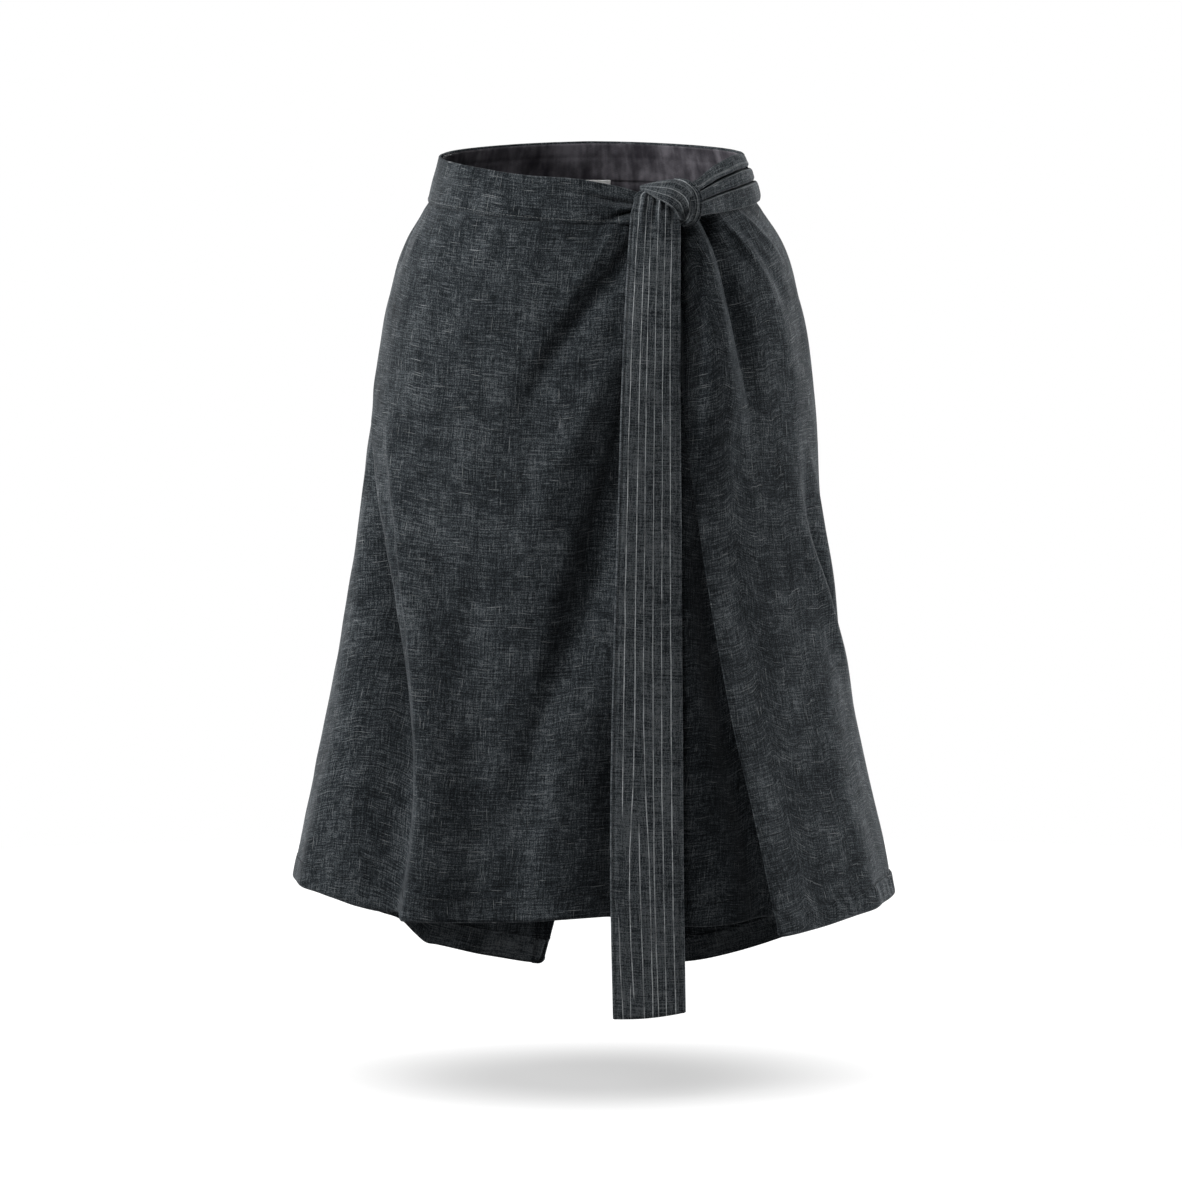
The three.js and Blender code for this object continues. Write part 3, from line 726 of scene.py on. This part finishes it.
def thread_material(name, low, high):
    """Sewing thread, with the twist of its plies."""
    shader = Shader(name)
    across, down = shader.place()
    ply = shader.math("SINE", shader.times(shader.math("ADD", across, down), 9.0))
    fleck = shader.noise(across, down, 1.3, 1.3, 1, 3.0)
    colour = shader.ramp(fleck, [(0.3, low), (0.7, high)])
    return dress(shader, colour, ply, 0.7, 0.1, 0.4)


def floor_material():
    """Pale paper that glows towards its rim where it is seen, less in its middle: a painted shadow under the
    skirt. It throws back plain grey light.
    """
    shader = Shader("pale_floor")
    place = shader.node("TexCoord").outputs["Object"]
    grain = shader.node("TexNoise", dict(Vector=place, Scale=3.0)).outputs[0]
    grey = shader.ramp(grain, [(0.3, (0.20,) * 3), (0.7, (0.21,) * 3)])
    paper = shader.node("BsdfDiffuse", dict(Color=grey)).outputs[0]
    flat = shader.node("VectorMath", (place, (1, 1, 0)), operation="MULTIPLY").outputs[0]
    reach = shader.node("VectorMath", (flat,), operation="LENGTH").outputs["Value"]
    # painted shadow: the emission is dimmest in the floor's middle, under the skirt
    glow_with_painted_shadow = shader.node("Emission", dict(Strength=shader.remap(reach, *PAINTED_SHADOW_REACH, *FLOOR_GLOW_AND_PAINTED_SHADOW))).outputs[0]
    seen = shader.node("AddShader", (paper, glow_with_painted_shadow))
    thrown = shader.node("BsdfDiffuse", dict(Color=(0.28, 0.28, 0.28, 1)))
    by_camera_ray(shader.tree, thrown, seen, shader.tree.nodes["Material Output"])
    return shader.material


linen = linen_material("linen_chambray")
# a lighter copy of the cloth for the turned hems inside the back: painted light
linen_painted_light = linen_material("linen_painted_light_hem", 0.12)
# the tail: its ground paler than the skirt's, partly its own tone and partly painted light for the light the
# proud tail catches
striped = sash_material("sash_chambray", 0.165, (0.74, 0.77, 0.79, 1))
# the sash round the left side: ground and white yarns darkened, painted shade
striped_painted_shade = sash_material("sash_chambray_side_painted_shade", 0.02, (0.16, 0.17, 0.175, 1))
# the knot: the same white yarns dimmed to grey, painted shade
striped_knot_painted_shade = sash_material("sash_chambray_knot_painted_shade", 0.12, (0.33, 0.35, 0.36, 1))
satin = satin_material()
tape = tape_material()
thread = thread_material("dark_thread", (0.006, 0.007, 0.008), (0.022, 0.024, 0.026))
pale_thread = thread_material("pale_thread", (0.13, 0.14, 0.14), (0.22, 0.23, 0.23))

# ---------------- panels


def turned(distance, depth):
    """How much a turned edge thickens the cloth at a distance from it."""
    return (HEM_LAYERS - CLOTH) * smooth(depth + 0.8 * MM, depth - 0.8 * MM, distance)


def layer_off(layer, angle, z, free):
    """How far a layer of the shell lies off the body. Past the wrap's free edge, the under panel stays below
    the folds of the upper one."""
    own = folded(FOLDS[layer], angle, z) + folded(FINE_FOLDS[layer], angle, z)
    own += ripple(angle, z, RIPPLE_SEEDS[layer], RIPPLE)
    if layer == "over":
        return own + WRAP_LIFT * smooth(78, 56, angle)
    if layer == "back":
        return own
    pressed = np.minimum(own, folded(FOLDS["over"], angle, z))
    return blend(own, pressed, smooth(free - 2, free + 2, angle))


def hem_relief(height, angle, strength):
    """What a hem adds at a height above it: a soft swell, a groove at the stitches and small puckers."""
    swell = 0.8 * MM * smooth(HEM_DEPTH, HEM_DEPTH - 5 * MM, height)
    groove = -0.55 * MM * bell(height, HEM_STITCH, 1.4 * MM)
    rolled = -1.3 * MM * np.maximum(0, 1 - height / (2.6 * MM)) ** 2
    around = np.radians(angle)
    along = around * MEAN_RADIUS / MM + 2.4 * np.sin(around * 13) + height / MM * 0.25
    pucker = np.sin(along / 1.9) + 0.7 * np.sin(along / 2.7 + 1.0)
    near = bell(height, 0.6 * HEM_DEPTH, 0.34 * HEM_DEPTH)
    return rolled + (swell + groove + 0.26 * MM * pucker * near) * strength


def wrap_height(v):
    """Where a row of a front panel reads the wrap's edges."""
    return blend(WRAP_EDGES[0]["z"], WRAP_EDGES[-1]["z"], v)


def panel(name, layer, columns, edges, hem, grain_angle, turned_edge=None):
    """A panel of the shell, from the waist seam to its hem, with its grain straight at one angle."""
    hem_z = curve(hem, "at", "z")
    u = spaced((0, 0.03, 9), (0.03, 0.97, columns), (0.97, 1, 9))[None, :]
    v = spaced((0, 0.955, 150), (0.955, 1, 30))[:, None]
    first, last = edges(v)
    angle = blend(first, last, u)
    drop_from = waist_seam(angle) - SEAM_GAP
    from_edge = np.radians(np.abs(angle - (last if turned_edge == "last" else first))) * MEAN_RADIUS
    rounding = 0 if turned_edge is None else CORNER * np.maximum(0, 1 - from_edge / CORNER) ** 2.5
    z = blend(drop_from, hem_z(angle) + rounding, v)
    tuck = 1.3 * MM * smooth(7 * MM, 0, drop_from - z)
    if layer == "over":
        tuck = tuck + 2.2 * MM * smooth(9 * MM, 0, drop_from - z) * smooth(84, 62, angle)
    off = layer_off(layer, angle, z, free_edge(wrap_height(v))) - tuck
    off = off + hem_relief(z - hem_z(angle) - rounding, angle, HEM_STRENGTH[layer])
    outer = body_point(angle, z, off)
    down = arc_length(outer, 0)
    to_hem = down[-1:] - down
    across = arc_length(outer, 1)
    grain = np.array([np.interp(grain_angle, a, c) for a, c in zip(angle, across)])[:, None]
    drawn = 0.26 * (across - grain) * smooth(-0.24, -0.03, z) if layer == "over" else 0
    uv = np.stack([across - grain, outer[:1, :, 2] - down - drawn], -1)
    thick = CLOTH + turned(to_hem, HEM_DEPTH) * HEM_SHARE[layer]
    if turned_edge is not None:
        to_edge = across if turned_edge == "first" else across[:, -1:] - across
        thick = np.maximum(thick, CLOTH + turned(to_edge, EDGE_DEPTH))
    piece = shell(name, outer, thick, uv, linen, body_normal(angle, np.zeros_like(z)))
    return piece, outer, thick


def front_right():
    def edges(v):
        return np.full_like(v, SIDE_GAP - SIDE_SEAM), hidden_edge(wrap_height(v))

    return panel("right_front_cloth", "under", 236, edges, UNDER_HEM, -20)


def front_left():
    def edges(v):
        return free_edge(wrap_height(v)), np.full_like(v, SIDE_SEAM - SIDE_GAP)

    return panel("left_front_cloth", "over", 150, edges, OVER_HEM, 60, "first")


def turning(name, outer, thick, side):
    """The turned-up hem of a back panel: a strip inside it, puckered along its upper edge, in a lighter copy
    of the cloth that paints the light reaching it.
    """
    height = spaced((HEM_DEPTH, 0.9 * HEM_DEPTH, 5), (0.9 * HEM_DEPTH, 0.7 * MM, 9))
    down = arc_length(outer, 0)
    to_hem = (down[-1:] - down)[::-1]
    columns = range(outer.shape[1])[slice(3, -1) if side == "first" else slice(1, -3)]
    grid = np.stack([read_at(height, to_hem[:, c], outer[::-1, c]).T for c in columns], 1)
    depth = np.stack([np.interp(height, to_hem[:, c], thick[::-1, c]) for c in columns], 1)
    normal = grid_normals(grid)
    across = arc_length(grid, 1)
    pucker = np.sin(across / 0.0042 + 1.3 * np.sin(across / 0.019))
    pucker *= smooth(0.5, 1.0, height / HEM_DEPTH)[:, None]
    inside = grid - normal * (depth + 1.0 * MM + 0.28 * MM * pucker)[..., None]
    uv = np.stack([across, -0.3 + np.broadcast_to(height[:, None], across.shape)], -1)
    return shell(name, inside[:, ::-1], CLOTH, uv[:, ::-1], linen_painted_light)


def vent_opening(v):
    """How far a back panel's edge stands from the middle, in degrees: a seam above, the slit below."""
    z = blend(waist_seam(180), BACK_LOW, v)
    return SIDE_GAP + VENT_SPREAD * np.maximum(0, (VENT_TOP - z) / (VENT_TOP - BACK_LOW))


def back_right():
    def edges(v):
        return vent_opening(v) - 180, np.full_like(v, -SIDE_SEAM - SIDE_GAP)

    return panel("right_back_cloth", "back", 140, edges, BACK_HEM, -140, "first")


def back_left():
    def edges(v):
        return np.full_like(v, SIDE_SEAM + SIDE_GAP), 180 - vent_opening(v)

    return panel("left_back_cloth", "back", 140, edges, BACK_HEM, 140, "last")


def wrapped(angle):
    """Angles from -180 up."""
    return np.where(angle < -180, angle + 360, angle)


# The band runs from the knot round the right side and the back, to where the sash starts.
BAND_ENDS = dict(knot=24, side=-360 + SASH["end"] + SIDE_GAP)


def waistband():
    """The band, with the creases that the knot draws in it, and the grid of its outer face."""
    u = np.linspace(0, 1, 330)[None, :]
    v = np.linspace(0, 1, 46)[:, None]
    angle = blend(BAND_ENDS["side"], BAND_ENDS["knot"], u) + 0 * v
    at = wrapped(angle)
    z = blend(waist_top(at), waist_seam(at), v)
    upper = 0.29 + 0.12 * smooth(-11, 10, angle)
    lower = 0.90 - 0.24 * smooth(4, 15, angle)
    crease = -4.6 * MM * bell(v, upper, 0.075) * smooth(-16, 10, angle)
    crease -= 5.0 * MM * bell(v, lower, 0.080) * smooth(0, 13, angle)
    crease += 1.6 * MM * bell(v, upper + 0.17, 0.09) * smooth(-14, 12, angle)
    crease -= 1.0 * MM * bell(v, 0.55, 0.10) * smooth(-62, -40, angle) * smooth(-18, -34, angle)
    crown = 0.5 * MM * np.sin(math.pi * v) + ripple(angle, z * 2.2, 21, 0.22 * MM)
    tuck = -0.7 * MM * smooth(0.955, 1.0, v)
    outer = body_point(at, z, BAND_OUT + 5 * MM * smooth(4, 22, angle) + crease + crown + tuck)
    down = arc_length(outer, 0)
    across = arc_length(outer[len(v) // 2][None], 1) + 0 * down
    uv = np.stack([across, -down], -1)
    piece = shell("waistband_cloth", outer, BAND, uv, linen, body_normal(at, 0 * z))
    return piece, outer


def waist_facing():
    """The satin inside the band: gathered pleats down to its seam, and a free edge below."""
    u = np.linspace(0, 1, 420)[None, :]
    v = np.concatenate([np.linspace(0, 0.96, 20), [0.98, 1.0, 1.02, 1.05, 1.12, 1.22, 1.32]])[:, None]
    angle = blend(BAND_ENDS["side"] + 1, 2, u) + 0 * v
    at = wrapped(angle)
    z = waist_top(at) - blend(1.0 * MM, FACING_DEPTH, v)
    rng = np.random.default_rng(4)
    pucker = np.zeros_like(angle)
    for _ in range(110):
        place = rng.uniform(BAND_ENDS["side"], 2)
        height = rng.uniform(0.3, 1.2) * MM * rng.choice([-1, 0.7])
        width = rng.uniform(0.8, 2.6)
        low = rng.uniform(0.3, 1.0)
        lean = rng.uniform(-4, 4)
        pucker += height * bell(angle, place + lean * v, width) * smooth(1 - low, 1, v)
    seam_line = 0.7 * MM * bell(v, 0.38, 0.03)
    seam_line += 1.6 * MM * bell(v, 1.045, 0.022) - 0.9 * MM * smooth(1.05, 1.3, v)
    inside = BAND_OUT - BAND - FACING_GAP
    inside = inside - 1.4 * MM * smooth(-25, 2, angle) - 1.0 * MM * smooth(0.7, 1.0, v)
    outer = body_point(at, z, inside + pucker * smooth(1.25, 0.9, v) + seam_line)
    down = arc_length(outer, 0)
    uv = np.stack([arc_length(outer[:1], 1) + 0 * down, -down], -1)
    return shell("facing_satin_cloth", outer, FACING, uv, satin, body_normal(at, 0 * z))


# ---------------- sash

# The pleats of the sash at the left side: by the share s of its width, how far down they lie as a share of
# the band's depth, and how far out in millimetres.
PLEATS = table(
    "s drop off",
    (0.0, 0.0, -0.2),
    (0.04, 0.0, 0.8),
    (0.14, 0.12, 2.6),
    (0.23, 0.26, 2.2),
    (0.27, 0.31, -2.0),
    (0.3, 0.335, -4.5),
    (0.33, 0.33, -2.0),
    (0.355, 0.305, 2.6),
    (0.39, 0.32, 4.2),
    (0.46, 0.44, 5.0),
    (0.53, 0.56, 3.8),
    (0.565, 0.61, -0.6),
    (0.59, 0.63, -3.0),
    (0.615, 0.62, 0.0),
    (0.64, 0.59, 4.8),
    (0.675, 0.61, 6.2),
    (0.78, 0.78, 6.8),
    (0.93, 0.97, 5.2),
    (0.97, 1.0, 4.2),
    (1.0, 0.985, 3.0),
)


def sash_waist():
    """The sash from the knot to the left side seam, folded in pleats that the knot gathers."""
    u = np.linspace(0, 1, 90)[None, :]
    s = np.linspace(0, 1, 150)[:, None]
    angle = blend(SASH["start"] + 3, SASH["end"] + 0.6, u) + 0 * s
    near = smooth(SASH["start"] + SASH["knot_reach"], SASH["start"], angle)
    drop = curve(PLEATS, "s", "drop")(s)
    off = curve(PLEATS, "s", "off")(s) * MM
    gather = 0.9 * MM * np.sin(2 * math.pi * (s * 9 + 0.3 * np.sin(u * 5))) * near
    top, low = waist_top(angle), waist_seam(angle)
    z = blend(top, low, drop)
    bulge = blend(off - 1.2 * MM, 0.95 * off + 0.4 * MM, near) + near * SASH["knot_rise"]
    outer = body_point(angle, z, bulge + gather + ripple(angle * 1.5, z * 3, 31, 0.18 * MM))
    across = arc_length(outer, 1)
    uv = np.stack([np.broadcast_to(s * SASH_WIDTH, across.shape), across], -1)
    yarns = np.stack([0.23 + 0.5 * s + 0 * across, 0.1 + across], -1)
    outward = body_normal(angle, 0 * z)
    return shell("sash_waist_cloth", outer, SASH_CLOTH, uv, striped_painted_shade, outward, yarns)


def sash_tail():
    """The end of the sash that hangs from the knot, gathered at its top."""
    left, right, depth, turn = (curve(TAIL, "z", key) for key in ("left", "right", "y", "turn"))
    u = np.linspace(0, 1, 64)[None, :]
    v = spaced((0, 0.14, 50), (0.14, 1, 170))[:, None]
    bottom = TAIL[-1]["z"] + TAIL_SLANT * u - 1.5 * MM * np.sin(math.pi * u)
    z = blend(TAIL[0]["z"], bottom, v)
    x = blend(left(z), right(z), u)
    high = smooth(-0.050, -0.010, z)
    gather = 0.8 * MM * np.cos(2 * math.pi * (2.5 * u + 0.12 * np.sin(70 * z))) * high
    gather += 0.8 * MM * np.cos(2 * math.pi * (5.5 * u + 0.3)) * smooth(-0.030, -0.008, z)
    crown = 1.3 * MM * (2 * u - 1) ** 2
    sway = 0.9 * MM * np.sin(z * 17 + 0.8) * smooth(-0.3, -0.5, z)
    sway += 0.5 * MM * np.sin(z * 41 + 3 * u) * smooth(-0.1, -0.3, z)
    edge_seam = 0.5 * MM * (bell(u, 0.045, 0.02) + bell(u, 0.955, 0.02))
    y = depth(z) + turn(z) * u + gather + crown + sway + edge_seam
    outer = np.stack([x, y, z], -1)
    down = arc_length(outer, 0)
    uv = np.stack([arc_length(outer, 1), -down], -1)
    yarns = np.stack([u + 0 * down, -down], -1)
    return shell("sash_tail_cloth", outer, BAND, uv, striped, yarns=yarns)


# ---------------- knot

KNOT_MIDDLE = np.array([0.062, -0.080, -0.012])

# Straps of the knot, by points of the middle line, with width and thickness.
STRAP = "x y z width thick"
KNOT_FLAP = table(
    STRAP,
    (0.0395, -0.0975, 0.0028, 0.004, 0.003),
    (0.046, -0.103, 0.003, 0.009, 0.005),
    (0.055, -0.108, 0.0022, 0.0165, 0.007),
    (0.065, -0.111, 0.0002, 0.022, 0.008),
    (0.0735, -0.1095, -0.0066, 0.022, 0.008),
    (0.0765, -0.102, -0.02, 0.014, 0.007),
)
KNOT_RING = table(
    STRAP,
    (0.0665, -0.09, 0.0065, 0.007, 0.006),
    (0.075, -0.0985, 0.0045, 0.012, 0.008),
    (0.0815, -0.103, -0.0018, 0.014, 0.009),
    (0.083, -0.104, -0.011, 0.014, 0.009),
    (0.0805, -0.1025, -0.0205, 0.013, 0.009),
    (0.0735, -0.097, -0.026, 0.008, 0.006),
)
KNOT_CORE = table(
    STRAP,
    (0.046, -0.097, -0.003, 0.012, 0.008),
    (0.057, -0.099, -0.006, 0.02, 0.012),
    (0.071, -0.097, -0.008, 0.026, 0.015),
    (0.082, -0.091, -0.009, 0.022, 0.012),
)


def strap(rows, stations, sides, ridges=0, ridge=0.0, first_u=0.0, width_u=SASH_WIDTH):
    """Points of a strap swept along a table, with folds along it, and their places on cloth and yarns."""
    rows = [dict(row, t=t) for row, t in zip(rows, np.linspace(0, 1, len(rows)))]
    t = np.linspace(0, 1, stations)
    x, y, z, width, thick = (curve(rows, "t", key)(t) for key in STRAP.split())
    centre = np.stack([x, y, z], -1)
    forward = np.gradient(centre, axis=0)
    forward /= np.linalg.norm(forward, axis=1, keepdims=True)
    out = centre - KNOT_MIDDLE
    out -= (out * forward).sum(1, keepdims=True) * forward
    out /= np.linalg.norm(out, axis=1, keepdims=True)
    side = np.cross(out, forward)
    turn = np.linspace(0, 2 * math.pi, sides, endpoint=False)[None, :]
    flat = np.sign(np.cos(turn)) * np.abs(np.cos(turn)) ** 0.8
    folds = 1 + ridge * np.cos(ridges * math.pi * np.cos(turn)) * (np.sin(turn) > 0) * np.sin(turn)
    points = (
        centre[:, None]
        + side[:, None] * (flat * width[:, None] / 2)[..., None]
        + out[:, None] * (np.sin(turn) * folds * thick[:, None] / 2)[..., None]
    )
    length = arc_length(centre[:, None], 0)
    u = first_u + width_u * (1 - np.cos(turn)) / 2
    uv = np.stack(np.broadcast_arrays(u, length), -1)
    yarns = np.stack(np.broadcast_arrays(u / SASH_WIDTH, 0.3 + length), -1)
    return points, uv, yarns


def strap_faces(stations, sides, base):
    """The faces of a strap whose points are numbered ring by ring from base, with its two ends."""
    faces = []
    for s in range(stations - 1):
        for k in range(sides):
            a, b = base + s * sides + k, base + s * sides + (k + 1) % sides
            faces.append((a, b, b + sides, a + sides))
    faces.append(tuple(base + k for k in range(sides))[::-1])
    faces.append(tuple(base + (stations - 1) * sides + k for k in range(sides)))
    return faces


def end_to_end(grids):
    return np.concatenate([grid.reshape(-1, grid.shape[-1]) for grid in grids])


def knot():
    """The knot: a core, a flap over its front and a ring round its +X side."""
    parts = [
        strap(KNOT_CORE, 24, 32),
        strap(KNOT_FLAP, 60, 56, ridges=3, ridge=0.16, first_u=0.004, width_u=0.030),
        strap(KNOT_RING, 60, 56, ridges=4, ridge=0.22, first_u=0.030, width_u=0.020),
    ]
    faces, base = [], 0
    for grid, _, _ in parts:
        stations, sides = grid.shape[:2]
        faces += strap_faces(stations, sides, base)
        base += stations * sides
    points, cloth, yarns = (end_to_end(grids) for grids in zip(*parts))
    return finish_mesh("sash_knot_cloth", points, faces, dict(cloth=cloth, yarns=yarns), striped_knot_painted_shade)


# ---------------- label and stitches

LABEL_MARGIN = 0.8 * MM  # within the frame's box, at each side
LABEL_RISE = 1.2 * MM
LABEL_INSET = 6.2 * MM  # from the body's back to the label


def label():
    """A plain tape inside the back of the waistband."""
    low, high = (np.array(corner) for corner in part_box("label"))
    u = np.linspace(0, 1, 30)[None, :]
    v = np.linspace(0, 1, 20)[:, None]
    x = blend(low[0] + LABEL_MARGIN, high[0] - LABEL_MARGIN, 1 - u) + 0 * v
    z = blend(high[2], low[2], v) + LABEL_RISE + 0 * u
    y = back_depth(z) * np.sqrt(1 - (x / half_width(z)) ** 2) - LABEL_INSET - 0.3 * MM * np.sin(math.pi * v)
    grid = np.stack([x, y, z], -1)
    return shell("label_tape_piece", grid, TAPE, np.stack([x, z], -1), tape)


# One stitch, along it: share of its length, thickness, and how far it rises off the cloth, both in radii.
STITCH = table(
    "share size lift",
    (0.0, 0.35, -0.25), (0.18, 1.0, 0.25), (0.5, 1.1, 0.45), (0.82, 1.0, 0.25), (1.0, 0.35, -0.25),
)
STITCH_SIDES = 6
STITCH_OFF = 0.05 * MM  # between the cloth and the line of stitches


def stitches(name, lines, material, length=2.4 * MM, gap=0.8 * MM, radius=0.28 * MM):
    """Short threads along lines of points, each line with the direction that is up from the cloth."""
    turn = -2 * math.pi * np.arange(STITCH_SIDES)[:, None] / STITCH_SIDES  # the way strap_faces() needs it
    points, faces, uvs = [], [], []
    for line, up in lines:
        travelled = arc_length(line[:, None], 0)[:, 0]
        for start in np.arange(MM, travelled[-1] - length, length + gap):
            faces += strap_faces(len(STITCH), STITCH_SIDES, len(points) * STITCH_SIDES)
            for row in STITCH:
                s = start + row["share"] * length
                centre = read_at(s, travelled, line)
                ahead = read_at(s + 0.4 * MM, travelled, line) - centre
                ahead /= max(np.linalg.norm(ahead), 1e-9)
                above = read_at(s, travelled, up)
                spoke = np.cos(turn) * np.cross(ahead, above) + 0.8 * np.sin(turn) * above
                points.append(centre + radius * (row["lift"] * above + row["size"] * spoke))
                uvs.append([(start, row["share"] * length)] * STITCH_SIDES)
    uvs = dict(cloth=np.concatenate(uvs))
    return finish_mesh(name, np.concatenate(points), faces, uvs, material)


def hem_line(outer, thick, inside=False):
    """The line of a hem's stitching on a panel, outside or inside."""
    down = arc_length(outer, 0)
    to_hem = (down[-1:] - down)[::-1]
    normal = grid_normals(outer)
    line, up = [], []
    for column in range(outer.shape[1]):
        height = to_hem[:, column]
        point = read_at(HEM_STITCH, height, outer[::-1, column])
        out = read_at(HEM_STITCH, height, normal[::-1, column])
        out /= np.linalg.norm(out)
        depth = np.interp(HEM_STITCH, height, thick[::-1, column])
        line.append(point - out * (depth + STITCH_OFF) if inside else point + out * STITCH_OFF)
        up.append(-out if inside else out)
    return np.array(line), np.array(up)


# ---------------- the skirt

# The panels as cut, in metres and square metres.
CUTS = dict(
    front_right=dict(flat=(0.56, 0.60), area=0.27),
    front_left=dict(flat=(0.30, 0.62), area=0.13),
    back_right=dict(flat=(0.32, 0.67), area=0.165),
    back_left=dict(flat=(0.32, 0.67), area=0.165),
)


def declare(piece, node):
    """Hide the frame's part for the node that a piece stands for."""
    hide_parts(node)


def build():
    """Make every piece of the skirt."""
    made = {}
    for (node, cut), maker in zip(CUTS.items(), (front_right, front_left, back_right, back_left)):
        piece, outer, thick = maker()
        made[node] = (outer, thick)
        declare(piece, node)
    for node, side in (("back_right", "first"), ("back_left", "last")):
        strip = turning(node + "_hem_cloth", *made[node], side)
    band, band_grid = waistband()
    declare(band, "waistband")
    declare(waist_facing(), "waist_facing")
    declare(sash_waist(), "sash_waist")
    declare(sash_tail(), "sash_tail")
    declare(knot(), "sash_knot")
    declare(label(), "label")
    hem_lines = [hem_line(*grids) for grids in made.values()]
    stitches("hem_stitches", hem_lines, thread)
    inner_lines = [hem_line(*made[node], inside=True) for node in ("back_right", "back_left")]
    stitches("hem_stitches_inside", inner_lines, thread)
    normal = grid_normals(band_grid)
    row = int(band_grid.shape[0] * 0.93)
    band_line = (band_grid[row] + normal[row] * STITCH_OFF, normal[row])
    stitches("band_stitches", [band_line], pale_thread, radius=0.2 * MM)


# ---------------- studio

PHOTO_WIDTH = 0.957  # of the frame, at the skirt
LENS = 900
SENSOR = 36
TILT = 7
AIM = (-0.0008, 0.0, -0.3362)
ROOM_LIGHT = 0.030
PAINTED_SHADOW_REACH = (0.06, 0.29)  # from the floor's middle, where its glowing starts and stops growing: the reach of the shadow painted under the skirt
FLOOR_GLOW_AND_PAINTED_SHADOW = (0.50, 1.0)  # at those places; the dim middle is painted shadow
FLOOR_RADIUS = 1.5
FLOOR_DROP = 0.069  # below the sash's end

# Soft boxes: place, width and power. All face LIT.
LIT = (0, 0, -0.3)
LAMPS = [
    ("left_box", (-2.60, -0.75, 0.75), 1.3, 75),
    ("right_box", (2.60, 0.25, -0.25), 1.0, 48),
    ("front_box", (-0.90, -1.9, 1.9), 1.2, 6),
    ("waist_box", (-0.25, -1.0, 1.1), 0.6, 5.0),
    ("top_box", (0.0, -0.20, 2.6), 1.5, 10),
    ("back_left_box", (-1.5, 2.2, -0.1), 1.2, 34),
    ("back_right_box", (1.5, 2.2, -0.1), 1.2, 34),
]


def studio():
    """The camera, the floor, the world and the lamps."""
    scene = bpy.context.scene
    scene.view_settings.view_transform = "Standard"
    camera = bpy.data.cameras.new("camera")
    camera.lens = LENS
    camera.sensor_width = SENSOR
    distance = PHOTO_WIDTH * LENS / SENSOR
    camera.clip_end = distance * 4
    holder = put_in_scene("camera", camera)
    tilt = math.radians(TILT)
    holder.location = AIM + distance * np.array([0, -math.cos(tilt), math.sin(tilt)])
    holder.rotation_euler = (math.pi / 2 - tilt, 0, 0)
    scene.camera = holder

    turn = np.linspace(0, 2 * math.pi, 96, endpoint=False)
    height = cad_box[0][2] - FLOOR_DROP
    rim = [(FLOOR_RADIUS * math.cos(a), FLOOR_RADIUS * math.sin(a), height) for a in turn]
    mesh = bpy.data.meshes.new("floor")
    mesh.from_pydata(rim, [], [list(range(len(rim)))])
    mesh.materials.append(floor_material())
    floor = put_in_scene("floor", mesh)

    world = bpy.data.worlds.new("studio")
    scene.world = world
    world.use_nodes = True
    tree = world.node_tree
    backdrop = tree.nodes["Background"]
    backdrop.inputs[0].default_value = (1, 1, 1, 1)
    room = tree.nodes.new("ShaderNodeBackground")
    room.inputs[0].default_value = (0.9, 0.95, 1.0, 1)
    room.inputs[1].default_value = ROOM_LIGHT
    by_camera_ray(tree, room, backdrop, tree.nodes["World Output"])
    for name, place, size, power in LAMPS:
        area_light(name, place, size, power)


def area_light(name, place, size, power):
    """A round soft box that faces LIT."""
    light = bpy.data.lights.new(name, "AREA")
    light.shape = "DISK"
    light.size = size
    light.energy = power
    holder = put_in_scene(name, light)
    holder.location = place
    direction = np.array(LIT) - np.array(place)
    yaw = math.atan2(direction[0], -direction[1])
    pitch = math.atan2(math.hypot(direction[0], direction[1]), -direction[2])
    holder.rotation_euler = (pitch, 0, yaw + math.pi)


build()
studio()
